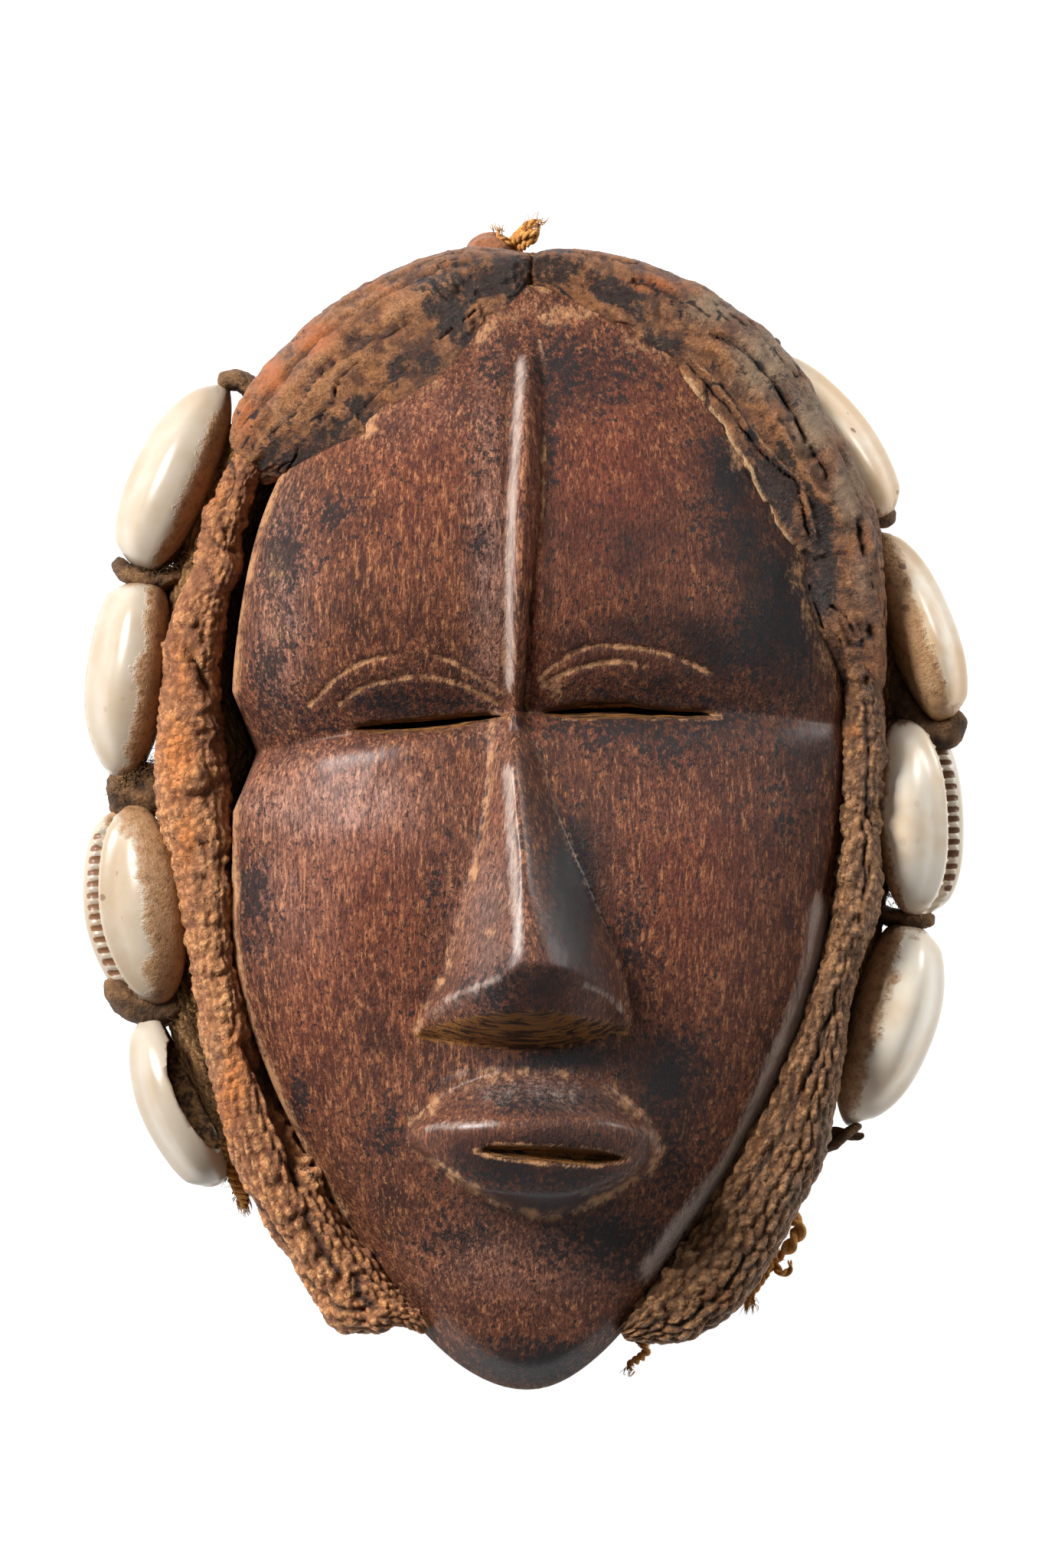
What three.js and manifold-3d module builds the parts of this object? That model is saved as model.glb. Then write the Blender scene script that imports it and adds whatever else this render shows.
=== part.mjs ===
// A miniature face mask: a carved wooden face that is hollow behind, two crusted hair rolls over
// its brow, a looped fibre cap round its wall, a plait down each side and eight cowrie shells.
import * as THREE from "three";
import { ConvexGeometry } from "three/addons/geometries/ConvexGeometry.js";
import { mergeVertices } from "three/addons/utils/BufferGeometryUtils.js";
import Module from "manifold-3d";

// Driving dimensions in millimetres. The mask lies on its back: +Z comes out of the face, +Y
// points to the crown, and +X is the right-hand side as one looks at the face.
const GAP = 0.3; // left between pieces that touch
const WALL_THICKNESS = 5.5; // of the wood, at the sides
const FRONT_THICKNESS = 7; // of the wood, from the face to the hollow
const RIM_FRONT_Z = 25; // where the side wall meets the front
const DOME_POWER = 3.2; // a higher power gives a flatter face with a tighter edge

// The wood's outline seen from the front, clockwise from the crown.
const WALL_OUTLINE = [
  [1, 56], [13, 52.4], [24, 42.4], [31.4, 28], [35, 12], [34.8, -3], [31.5, -21.8],
  [25, -36], [14.9, -52.5], [7.5, -61], [0.8, -63.9], [-6.5, -61.3], [-14.1, -53.4],
  [-20.8, -42.6], [-27.2, -30], [-31, -17], [-31.2, 0], [-31, 16], [-27.4, 32.5],
  [-18.5, 46.7], [-8, 54],
];
const FACE_CENTRE = [1, -1];
// The eye line cuts a notch into the front of the left edge.
const EYE_NOTCH = { y: 5.4, depth: 2.8, reach: 6.5 };

// Height of the face along its middle, as [y, z]: the brow, the eye line's valley, the chin.
const FACE_PROFILE = [
  [60, 25], [50, 33.5], [38, 38], [24, 37.8], [14, 35.4], [9.2, 32.6], [4, 34.6],
  [-12, 36], [-34, 36], [-50, 33.5], [-60, 29], [-66, 24],
];

// The thin keel down the forehead, as [x, y, z of its crest].
const KEEL = [[0.8, 50, 34], [0.4, 36, 39.6], [-0.2, 20, 39], [-0.7, 8.6, 35.6]];
const KEEL_WIDTH = 2.6;
const KEEL_DEPTH = 5;

const NOSE_ROOT = [-1, 9, 35.2];
const NOSE_TIP = [1.2, -17.5, 46.4];
const NOSE_TIP_WIDTH = 4.4;
const NOSE_WING_Y = -24.2;
const NOSE_WING_X = [-10.8, 11.8];
const NOSE_WING_Z = 40;
const NOSE_LIP_Z = 43.6; // front of the lower edge
const NOSE_SEAT_Z = 32; // inside the wood

const LIPS_CENTRE = [1.4, -37.2];
const LIPS_LENGTH = 27;
const LIPS_HEIGHT = 15.6;
const LIPS_FRONT_Z = 42.8;
const LIPS_SEAT_Z = 33;
const MOUTH_SLIT = { at: [3, -37.2], length: 16.4, width: 1.6, floorZ: 38.5 };

const EYE_SLITS = [
  { at: [-10.9, 8.7], length: 16.2, width: 1.3, turnDeg: 4 },
  { at: [11.4, 9.9], length: 19.8, width: 1.3, turnDeg: 0 },
];

// Each hair roll swells between the edge that lies on the brow and the outer edge, as [x, y, z].
const ROLL_THICKNESS = 11;
const LEFT_ROLL = {
  brow: [[2.4, 53, 29], [-4.4, 49, 30.4], [-12, 42.6, 31], [-20.4, 35.6, 30], [-28, 31, 26]],
  outer: [[0, 61.6, 19.5], [-8, 60, 18], [-19, 55, 18], [-27.6, 47.6, 18], [-34, 38, 19]],
};
const RIGHT_ROLL = {
  brow: [[2.8, 51.8, 29], [15, 46.6, 30.4], [23, 35.6, 30.4], [29.6, 24.6, 27], [34, 10, 24]],
  outer: [[2.8, 61.2, 19], [15, 58.6, 18], [28.4, 49.2, 18], [37.2, 35, 18], [40.4, 12, 18.5]],
};

// Each plait swells between the edge beside the wood and the outer edge, as [x, y].
const PLAIT_MIDDLE_Z = 21.5;
const PLAIT_THICKNESS = 9;
const LEFT_PLAIT = {
  inner: [[-29.4, 33.4], [-31, 25], [-32.4, 12], [-32, 0], [-32.2, -12], [-30, -26],
    [-23.6, -41], [-14.8, -55.6]],
  outer: [[-33.6, 33.4], [-36.6, 25], [-39.8, 10], [-39.6, -4], [-36.4, -15], [-33.6, -30],
    [-29, -45], [-19.6, -58.8]],
};
const RIGHT_PLAIT = {
  inner: [[35.6, 9], [36, 0], [34.6, -12], [31.4, -25], [24.6, -39], [14.8, -55]],
  outer: [[39.8, 9], [40, 0], [38.9, -12], [35.8, -24], [33.2, -39], [22.4, -58]],
};

// The cap lies round the wall under the rolls and the plaits. Its width is measured from the
// wall, at even steps clockwise from the lower left end to the lower right one.
const CAP_BOTTOM_Z = 0.8;
const CAP_TOP_Z = 16.6;
const CAP_FROM_WALL = 0.5;
const CAP_WIDTHS = [5, 6.6, 8.2, 8, 8.6, 7.6, 6.2, 4, 4.2, 5.4, 6.6, 5.8, 5.6, 6, 5.4];
const CAP_SPAN = [-0.44, 0.435]; // part of the outline's length, from the crown

// Cowrie shells, from the crown down: the middle of the cut back, the way the toothed side
// faces, seen from the front, how far that side is turned up to the front, and the taper: how
// much broader the end is that lies anticlockwise of that side.
const COWRIE_WIDTH = 15.5;
const COWRIE_MIDDLE_Z = 14;
const COWRIES = {
  left: [
    { back: [-33.5, 34.3], facesDeg: 158, length: 22.5, height: 8.4, turnDeg: 0, taper: 0.14 },
    { back: [-38.6, 12.2], facesDeg: 172, length: 22.6, height: 8.4, turnDeg: 4, taper: -0.14 },
    { back: [-37.6, -10.8], facesDeg: 188, length: 22.4, height: 9.3, turnDeg: 22, taper: 0 },
    { back: [-34.2, -31.2], facesDeg: 203, length: 20.6, height: 7.2, turnDeg: 0, taper: 0.06 },
  ],
  right: [
    { back: [30.7, 38.2], facesDeg: 35.5, length: 22.6, height: 7, turnDeg: 0, taper: -0.12 },
    { back: [39.6, 18.3], facesDeg: 19.4, length: 22.5, height: 7.1, turnDeg: 0, taper: -0.1 },
    { back: [39.7, -1.8], facesDeg: 3.2, length: 22.2, height: 7.8, turnDeg: 22, taper: 0 },
    { back: [35.4, -23.3], facesDeg: -15.6, length: 23.1, height: 9.4, turnDeg: 0, taper: 0.1 },
  ],
};
const COWRIE_SLIT_WIDTH = 1.5;
const COWRIE_SLIT_DEPTH = 1.8;
const BROKEN_COWRIE = "cowrie_left_4";
const BREAK_RADII = [3.7, 7.2, 5.4];

// Hide ties that hold the shells, each from inside the cap outwards, as [x, y].
const TIE_MIDDLE_Z = 13;
const TIE_HEIGHT = 8;
const TIE_THICKNESS = 2;
const TIES = {
  tie_left_1: [[-28.4, 44.2], [-33.4, 47.2]],
  tie_left_2: [[-35.8, 24.8], [-43.6, 25]],
  tie_left_3: [[-37.4, 1], [-45.6, 1]],
  tie_left_4: [[-36, -22.8], [-43.4, -22.4]],
  tie_right_1: [[24.4, 48], [28.4, 50.8]],
  tie_right_2: [[36.2, 30], [41.6, 31]],
  tie_right_3: [[38.6, 9.8], [47, 9]],
  tie_right_4: [[37.6, -13], [45.4, -13.6]],
  tie_right_5: [[30.8, -36], [37.6, -36.6]],
};

// Loose yarn ends: a route as [x, y, z] and the thickness of the yarn.
const YARN_ENDS = {
  crown_yarn: { route: [[-1.6, 61.2, 15], [-0.6, 62.4, 16.5], [1.6, 62.6, 16]], thick: 2.2 },
  left_yarn: { route: [[-30.2, -40.4, 12], [-31, -42.6, 12.6], [-30.4, -44.8, 12]], thick: 2 },
  right_yarn: { route: [[29.2, -48.4, 11], [28.2, -51.4, 12], [25.6, -55, 12]], thick: 2 },
  chin_yarn: { route: [[13.6, -59.4, 10], [12.8, -61, 10.4], [11.6, -62, 10.6]], thick: 1.2 },
};
const CROWN_KNOT = { at: [-3.6, 60.6, 11.4], radii: [2.4, 2, 3] };

// Materials
const finish = (color, roughness) =>
  new THREE.MeshStandardMaterial({ color, roughness, metalness: 0 });
const wood = finish(0x5a3426, 0.45);
const crust = finish(0x84563a, 0.8);
const plaited = finish(0x8a5a3c, 0.85);
const fibre = finish(0x6e4a2e, 0.95);
const shell = finish(0xece0d0, 0.25);
const hide = finish(0x4a3222, 0.8);
const yarn = finish(0xb27a40, 0.95);

// Solids
const wasm = await Module();
wasm.setup();

// A closed geometry as a solid, turned the right way out.
function solidOf(geometry) {
  const bare = geometry.clone();
  bare.deleteAttribute("normal");
  bare.deleteAttribute("uv");
  const merged = mergeVertices(bare, 1e-4);
  const triVerts = new Uint32Array(merged.index.array);
  const make = () =>
    new wasm.Manifold(
      new wasm.Mesh({
        numProp: 3,
        vertProperties: merged.attributes.position.array,
        triVerts,
      }),
    );
  const first = make();
  if (first.volume() > 0) return first;
  for (let i = 0; i < triVerts.length; i += 3) {
    const second = triVerts[i + 1];
    triVerts[i + 1] = triVerts[i + 2];
    triVerts[i + 2] = second;
  }
  return make();
}

// A solid as a named mesh.
function meshOf(solid, name, material) {
  const { vertProperties, triVerts } = solid.getMesh();
  const geometry = new THREE.BufferGeometry();
  geometry.setAttribute("position", new THREE.BufferAttribute(vertProperties, 3));
  geometry.setIndex(new THREE.BufferAttribute(triVerts, 1));
  geometry.computeVertexNormals();
  const mesh = new THREE.Mesh(geometry, material);
  mesh.name = name;
  return mesh;
}

// A sphere whose every point is put where place(round, along) says, both from 0 to 1.
function formed(around, along, place) {
  const sphere = new THREE.SphereGeometry(1, around, along);
  const { position, uv } = sphere.attributes;
  for (let i = 0; i < position.count; i++) {
    const point = place((uv.getX(i) + 1) % 1, 1 - uv.getY(i));
    position.setXYZ(i, point.x, point.y, point.z);
  }
  return sphere;
}

const vector = ([x, y, z = 0]) => new THREE.Vector3(x, y, z);
const curveThrough = (points, closed = false) =>
  new THREE.CatmullRomCurve3(points.map(vector), closed, "centripetal");
const rounded = (value, power) => Math.sign(value) * Math.abs(value) ** power;

// The value at x of a smooth line through [x, value] stations in falling order of x.
function along(stations, x) {
  const next = stations.findIndex(([at]) => at <= x);
  if (next <= 0) return stations[next < 0 ? stations.length - 1 : 0][1];
  const [[x0, v0], [x1, v1]] = [stations[next - 1], stations[next]];
  return v0 + (v1 - v0) * THREE.MathUtils.smoothstep(x0 - x, 0, x0 - x1);
}

// The wooden face
const wallCurve = curveThrough(WALL_OUTLINE, true);
const faceCentre = vector(FACE_CENTRE);

// A point of the outline, grown outwards by an offset.
function wallPoint(part, offset) {
  const tangent = wallCurve.getTangentAt(part);
  const outward = new THREE.Vector3(-tangent.y, tangent.x, 0);
  return wallCurve.getPointAt(part).addScaledVector(outward, offset);
}

// How far the eye line's notch pushes a point of the front edge inwards.
function notchAt({ x, y }) {
  const near = 1 - Math.abs(y - EYE_NOTCH.y) / EYE_NOTCH.reach;
  return x < 0 && near > 0 ? EYE_NOTCH.depth * near : 0;
}

// A block with the face's outline and front, from its front down to floorZ, grown by offsets.
function faceBlock({ offset, frontOffset, floorZ, around, frontRings }) {
  const rings = frontRings + 2; // the wall and the back are one ring each
  return formed(around, rings, (round, down) => {
    const ring = Math.round(down * rings);
    const edge = wallPoint(round, offset);
    const reach = Math.min(1, ring / frontRings);
    if (ring > frontRings) {
      return edge.lerp(faceCentre, ring - frontRings - 1).setZ(floorZ);
    }
    edge.x += notchAt(edge);
    const point = faceCentre.clone().lerp(edge, reach);
    const rise = along(FACE_PROFILE, point.y) - RIM_FRONT_Z;
    return point.setZ(RIM_FRONT_Z + rise * (1 - reach ** DOME_POWER) + frontOffset);
  });
}

// A rounded bar that swells between two edge curves.
function swellBetween(edgeA, edgeB, thickness, { around, steps, endPower, square = 1 }) {
  const middle = (part) => edgeA.getPoint(part).lerp(edgeB.getPoint(part), 0.5);
  const step = 0.01;
  return formed(around, steps, (round, part) => {
    const centre = middle(part);
    const across = edgeA.getPoint(part).sub(centre);
    const tangent = middle(Math.min(1, part + step)).sub(middle(Math.max(0, part - step)));
    const up = tangent.cross(across).normalize();
    const swell = (4 * part * (1 - part)) ** endPower;
    const angle = 2 * Math.PI * round;
    const sideways = swell * rounded(Math.cos(angle), square);
    const upwards = swell * rounded(Math.sin(angle), square) * (thickness / 2);
    return centre.addScaledVector(across, sideways).addScaledVector(up, upwards);
  });
}

// The lens-shaped cut of an eye or a mouth, from floorZ up through the front.
function slit({ at, length, width, turnDeg = 0, floorZ = -1 }) {
  const lens = new THREE.Shape();
  lens.moveTo(-length / 2, 0);
  lens.quadraticCurveTo(0, width, length / 2, 0);
  lens.quadraticCurveTo(0, -width, -length / 2, 0);
  const cut = new THREE.ExtrudeGeometry(lens, {
    depth: 60,
    bevelEnabled: false,
    curveSegments: 5,
  });
  cut.rotateZ(THREE.MathUtils.degToRad(turnDeg));
  cut.translate(at[0], at[1], floorZ);
  return solidOf(cut);
}

function keel() {
  const half = KEEL_WIDTH / 2;
  const crest = KEEL.map(([x, y, z]) => [x, y, z - KEEL_DEPTH / 2]);
  const left = curveThrough(crest.map(([x, y, z]) => [x - half, y, z]));
  const right = curveThrough(crest.map(([x, y, z]) => [x + half, y, z]));
  const options = { around: 8, steps: 12, endPower: 0.3 };
  return solidOf(swellBetween(left, right, KEEL_DEPTH, options));
}

// The nose is a narrow bridge that joins a broad, blunt foot.
function nose() {
  const half = NOSE_TIP_WIDTH / 2;
  const [tipX, tipY, tipZ] = NOSE_TIP;
  const [rootX, rootY, rootZ] = NOSE_ROOT;
  const [wingLeft, wingRight] = NOSE_WING_X;
  const seat = (x, y) => new THREE.Vector3(x, y, NOSE_SEAT_Z);
  const tip = [
    new THREE.Vector3(tipX - half, tipY, tipZ - 0.8),
    new THREE.Vector3(tipX, tipY, tipZ),
    new THREE.Vector3(tipX + half, tipY, tipZ - 0.8),
  ];
  const lowerEdge = [
    new THREE.Vector3(tipX - 2 * half, NOSE_WING_Y + 1.4, NOSE_LIP_Z),
    new THREE.Vector3(tipX + 2 * half, NOSE_WING_Y + 1.4, NOSE_LIP_Z),
  ];
  const bridge = new ConvexGeometry([
    new THREE.Vector3(rootX, rootY, rootZ),
    seat(rootX - 2.4, rootY),
    seat(rootX + 2.4, rootY),
    ...tip,
    seat(tipX - 6.4, tipY),
    seat(tipX + 6.4, tipY),
    ...lowerEdge,
  ]);
  const foot = new ConvexGeometry([
    ...tip,
    ...lowerEdge,
    new THREE.Vector3(wingLeft, NOSE_WING_Y, NOSE_WING_Z),
    new THREE.Vector3(wingRight, NOSE_WING_Y, NOSE_WING_Z),
    seat(wingLeft, NOSE_WING_Y),
    seat(wingRight, NOSE_WING_Y),
    seat(tipX - 5, tipY + 9),
    seat(tipX + 5, tipY + 9),
    seat(tipX, NOSE_WING_Y - 3),
  ]);
  return solidOf(bridge).add(solidOf(foot));
}

// Full lips, pointed at both corners.
function lips() {
  const cornerPower = 1.5;
  const depth = LIPS_FRONT_Z - LIPS_SEAT_Z;
  const form = formed(14, 16, (round, part) => {
    const side = -Math.cos(Math.PI * part);
    const open = (1 - Math.abs(side) ** cornerPower) ** 0.8;
    const angle = 2 * Math.PI * round;
    return new THREE.Vector3(
      LIPS_CENTRE[0] + (LIPS_LENGTH / 2) * side,
      LIPS_CENTRE[1] + (LIPS_HEIGHT / 2) * open * Math.cos(angle),
      LIPS_SEAT_Z + depth * open ** 0.6 * Math.max(0, Math.sin(angle)) ** 0.7,
    );
  });
  return solidOf(form).subtract(slit(MOUTH_SLIT));
}

function woodenFace() {
  const block = { offset: 0, frontOffset: 0, floorZ: 0, around: 48, frontRings: 10 };
  const hollow = {
    offset: -WALL_THICKNESS,
    frontOffset: -FRONT_THICKNESS,
    floorZ: -1,
    around: 28,
    frontRings: 6,
  };
  const eyes = EYE_SLITS.map(slit);
  return solidOf(faceBlock(block))
    .subtract(solidOf(faceBlock(hollow)))
    .add(keel())
    .add(nose())
    .add(lips())
    .subtract(eyes[0])
    .subtract(eyes[1]);
}
const clearBlock = { offset: GAP, frontOffset: GAP, floorZ: -1, around: 48, frontRings: 10 };
const faceClear = solidOf(faceBlock(clearBlock));

// Hair rolls, plaits and cap
function roll({ brow, outer }) {
  const options = { around: 10, steps: 14, endPower: 0.26, square: 0.9 };
  const form = swellBetween(curveThrough(brow), curveThrough(outer), ROLL_THICKNESS, options);
  return solidOf(form).subtract(faceClear);
}

function plait({ inner, outer }) {
  const level = (points) => curveThrough(points.map(([x, y]) => [x, y, PLAIT_MIDDLE_Z]));
  const options = { around: 8, steps: 20, endPower: 0.14, square: 0.85 };
  return solidOf(swellBetween(level(inner), level(outer), PLAIT_THICKNESS, options));
}

function cap(grow = 0) {
  const [start, end] = CAP_SPAN;
  const middleZ = (CAP_BOTTOM_Z + CAP_TOP_Z) / 2;
  const widths = new THREE.SplineCurve(CAP_WIDTHS.map((w, i) => new THREE.Vector2(i, w)));
  const edge = (offsetOf) => ({
    getPoint: (part) => {
      const onWall = (1 + start + (end - start) * part) % 1;
      return wallPoint(onWall, offsetOf(widths.getPoint(part).y)).setZ(middleZ);
    },
  });
  const options = { around: 8, steps: 34, endPower: 0.1, square: 0.6 };
  const inner = edge(() => CAP_FROM_WALL - grow);
  const outer = edge((width) => CAP_FROM_WALL + width + grow);
  const thickness = CAP_TOP_Z - CAP_BOTTOM_Z + 2 * grow;
  return solidOf(swellBetween(inner, outer, thickness, options));
}

// Cowries
// A shell in its own frame: cut back at x = 0, toothed side at x = height, length along y.
function cowrieForm({ length, height, taper }, grow = 0) {
  return formed(10, 11, (round, part) => {
    const end = -Math.cos(Math.PI * part);
    const blunt = 0.5 - 1.4 * taper * end;
    const open = (1 - end * end) ** blunt;
    const angle = 2 * Math.PI * round;
    const wide = (COWRIE_WIDTH / 2) * (1 + taper * end);
    const high = height * (1 + 0.6 * taper * end);
    const middleX = high * (0.5 - 0.1 * (1 - open));
    return new THREE.Vector3(
      middleX + (high / 2 + grow) * open * rounded(Math.cos(angle), 0.75),
      (length / 2 + grow) * end,
      (wide + grow) * open * Math.sin(angle),
    );
  });
}

// Puts a shell's own frame where it sits on the cap.
function cowrieMatrix({ back, facesDeg, turnDeg }) {
  const turn = new THREE.Euler(
    0,
    -THREE.MathUtils.degToRad(turnDeg),
    THREE.MathUtils.degToRad(facesDeg),
    "ZYX",
  );
  const at = new THREE.Vector3(back[0], back[1], COWRIE_MIDDLE_Z);
  const size = new THREE.Vector3(1, 1, 1);
  return new THREE.Matrix4().compose(at, new THREE.Quaternion().setFromEuler(turn), size);
}

function cowrie(name, place) {
  const aperture = new THREE.SphereGeometry(1, 6, 8);
  aperture.scale(COWRIE_SLIT_DEPTH, place.length * 0.44, COWRIE_SLIT_WIDTH);
  aperture.translate(place.height, 0, 0);
  let solid = solidOf(cowrieForm(place)).subtract(solidOf(aperture));
  if (name === BROKEN_COWRIE) {
    const broken = new THREE.SphereGeometry(1, 10, 8);
    broken.scale(...BREAK_RADII);
    broken.translate(0.4, -0.5, COWRIE_WIDTH / 3);
    solid = solid.subtract(solidOf(broken));
  }
  const mesh = meshOf(solid, name, shell);
  mesh.applyMatrix4(cowrieMatrix(place));
  return mesh;
}

// Ties and yarn ends
function tie([from, to]) {
  const level = (z) => curveThrough([from, to].map(([x, y]) => [x, y, z]));
  const low = level(TIE_MIDDLE_Z - TIE_HEIGHT / 2);
  const high = level(TIE_MIDDLE_Z + TIE_HEIGHT / 2);
  const options = { around: 6, steps: 6, endPower: 0.35 };
  return solidOf(swellBetween(low, high, TIE_THICKNESS, options));
}

function yarnEnd({ route, thick }) {
  const shifted = (dx) => curveThrough(route.map(([x, y, z]) => [x, y, z + dx]));
  const options = { around: 8, steps: 8, endPower: 0.4 };
  return solidOf(swellBetween(shifted(-thick / 2), shifted(thick / 2), thick, options));
}

function crownKnot(grow = 0) {
  const knot = new THREE.SphereGeometry(1, 10, 8);
  knot.scale(...CROWN_KNOT.radii.map((radius) => radius + grow));
  knot.translate(...CROWN_KNOT.at);
  return solidOf(knot);
}

// Assembly
const mask = new THREE.Group();
const shells = Object.entries(COWRIES).flatMap(([side, places]) =>
  places.map((place, i) => ({ name: "cowrie_" + side + "_" + (i + 1), place })),
);
const shellsClear = shells.map(({ place }) =>
  solidOf(cowrieForm(place, GAP).applyMatrix4(cowrieMatrix(place))),
);
const clearOf = (solid, others) => others.reduce((rest, other) => rest.subtract(other), solid);

const besideShells = (solid) => clearOf(solid, shellsClear);
const knotClear = crownKnot(GAP);
const capSolid = clearOf(besideShells(cap()), [knotClear]);
const capClear = cap(GAP);

mask.add(meshOf(woodenFace(), "wooden_face", wood));
mask.add(meshOf(capSolid, "fibre_cap", fibre));
mask.add(meshOf(besideShells(roll(LEFT_ROLL)), "left_roll", crust));
mask.add(meshOf(besideShells(roll(RIGHT_ROLL)), "right_roll", crust));
mask.add(meshOf(besideShells(plait(LEFT_PLAIT)), "left_plait", plaited));
mask.add(meshOf(besideShells(plait(RIGHT_PLAIT)), "right_plait", plaited));
for (const { name, place } of shells) mask.add(cowrie(name, place));
for (const [name, ends] of Object.entries(TIES)) {
  mask.add(meshOf(clearOf(besideShells(tie(ends)), [capClear]), name, hide));
}
mask.add(meshOf(crownKnot(), "crown_knot", fibre));
for (const [name, end] of Object.entries(YARN_ENDS)) {
  mask.add(meshOf(yarnEnd(end), name, yarn));
}

export default mask;
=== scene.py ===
import logging
import math
from dataclasses import dataclass
from enum import Enum
from typing import Callable, Iterable, Optional, Sequence, Union

import bmesh
import bpy
import numpy as np
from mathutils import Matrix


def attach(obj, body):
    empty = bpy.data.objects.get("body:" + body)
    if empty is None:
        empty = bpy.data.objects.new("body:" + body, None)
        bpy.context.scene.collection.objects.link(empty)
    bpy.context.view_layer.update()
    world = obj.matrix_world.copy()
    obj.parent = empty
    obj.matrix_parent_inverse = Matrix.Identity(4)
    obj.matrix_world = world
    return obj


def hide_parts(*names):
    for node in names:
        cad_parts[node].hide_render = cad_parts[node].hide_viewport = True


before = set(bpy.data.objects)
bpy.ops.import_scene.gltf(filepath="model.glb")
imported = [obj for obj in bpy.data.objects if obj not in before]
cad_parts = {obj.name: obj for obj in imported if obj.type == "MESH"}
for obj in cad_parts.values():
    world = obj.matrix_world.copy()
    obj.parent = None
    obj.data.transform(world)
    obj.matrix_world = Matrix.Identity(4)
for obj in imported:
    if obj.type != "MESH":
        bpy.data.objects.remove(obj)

log = logging.getLogger("mask")

MM = 0.001
PHOTO_WIDTH = 1365
PHOTO_HEIGHT = 2048
PHOTO_PIXEL = 0.083  # mm on the object for one pixel of the photograph

Points = np.ndarray
Colour = tuple[float, float, float]
Place = tuple[float, float, float]
Line = Sequence[tuple[float, float]]


# Numbers and curves

def smooth_step(low: float, high: float, value: Points) -> Points:
    """A soft step.

    Args:
        low: Where the step starts.
        high: Where the step is complete.
        value: The numbers to look up.

    Returns:
        0 before low, 1 after high and a soft rise between them.
    """
    part = np.clip((value - low) / (high - low), 0.0, 1.0)
    return part * part * (3.0 - 2.0 * part)


def through(stations: Line, value: Points) -> Points:
    """A smooth line through stations.

    Args:
        stations: The (place, height) pairs, in rising order of place.
        value: The places to look up.

    Returns:
        The height at each place, by a monotone cubic between the stations.
    """
    place = np.array([s[0] for s in stations], dtype=float)
    height = np.array([s[1] for s in stations], dtype=float)
    steps = np.diff(height) / np.diff(place)
    slopes = np.zeros_like(height)
    rising = steps[:-1] * steps[1:] > 0
    both = steps[:-1] + steps[1:]
    slopes[1:-1] = np.where(rising, 2 * steps[:-1] * steps[1:] / np.where(rising, both, 1.0), 0.0)
    slopes[0] = steps[0]
    slopes[-1] = steps[-1]
    value = np.clip(value, place[0], place[-1])
    cell = np.clip(np.searchsorted(place, value) - 1, 0, len(steps) - 1)
    width = place[cell + 1] - place[cell]
    t = (value - place[cell]) / width
    return (
        height[cell] * (1 + 2 * t) * (1 - t) ** 2
        + slopes[cell] * width * t * (1 - t) ** 2
        + height[cell + 1] * t * t * (3 - 2 * t)
        + slopes[cell + 1] * width * t * t * (t - 1)
    )


def curve(points: Sequence[Sequence[float]], count: int, closed: bool = False) -> Points:
    """A smooth curve through points, at even steps along its length.

    Args:
        points: The points it passes through.
        count: How many points to return.
        closed: Whether it runs back to its start.

    Returns:
        An array of count points.
    """
    knots = np.array(points, dtype=float)
    if closed:
        padded = np.vstack([knots[-1], knots, knots[0], knots[1]])
    else:
        padded = np.vstack([2 * knots[0] - knots[1], knots, 2 * knots[-1] - knots[-2]])
    t = np.linspace(0, 1, 24, endpoint=False)[:, None]
    runs = []
    for a, b, c, d in zip(padded[:-3], padded[1:-2], padded[2:-1], padded[3:]):
        runs.append(0.5 * (2 * b + (c - a) * t + (2 * a - 5 * b + 4 * c - d) * t**2
                           + (3 * b - a - 3 * c + d) * t**3))
    dense = np.vstack(runs + [padded[-2][None, :]])
    length = np.concatenate([[0], np.cumsum(np.linalg.norm(np.diff(dense, axis=0), axis=1))])
    wanted = np.linspace(0, length[-1], count, endpoint=not closed)
    return np.column_stack([np.interp(wanted, length, dense[:, k]) for k in range(dense.shape[1])])


def pick(line: Points, part: Points) -> Points:
    """Points of an even curve.

    Args:
        line: The curve's points, at even steps.
        part: Places along it, from 0 to 1.

    Returns:
        The point at each place.
    """
    at = np.clip(part, 0, 1) * (len(line) - 1)
    low = np.minimum(at.astype(int), len(line) - 2)
    return line[low] + (line[low + 1] - line[low]) * (at - low)[..., None]


def nearest(points: Points, line: Points) -> tuple[Points, Points]:
    """How far points are from a polyline.

    Args:
        points: The points.
        line: The polyline's points.

    Returns:
        The distance of each point, and the nearest place along the line from 0 to 1.
    """
    best = np.full(len(points), np.inf)
    where = np.zeros(len(points))
    for i, (start, end) in enumerate(zip(line[:-1], line[1:])):
        run = end - start
        t = np.clip(((points - start) @ run) / max(run @ run, 1e-12), 0, 1)
        gap = np.linalg.norm(points - start - t[:, None] * run, axis=1)
        closer = gap < best
        best = np.where(closer, gap, best)
        where = np.where(closer, (i + t) / (len(line) - 1), where)
    return best, where


def faded(gap: Points, width: float) -> Points:
    """1 where a gap is 0, fading to 0 over about the width."""
    return np.exp(-((gap / width) ** 2))


def inner_part(where: Points, end: float) -> Points:
    """1 along a line from 0 to 1, fading to 0 over the part at each of its ends."""
    return smooth_step(0, end, where) * smooth_step(1, 1 - end, where)


def left_of(run: Points) -> Points:
    """The directions to the left of steps along a line, seen from the front."""
    run = run / np.linalg.norm(run, axis=1)[:, None]
    return np.column_stack([-run[:, 1], run[:, 0]])


def beside(line: Points) -> Points:
    """The directions that point to the left of an open line at its points."""
    return left_of(np.gradient(line[:, :2], axis=0))


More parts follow.
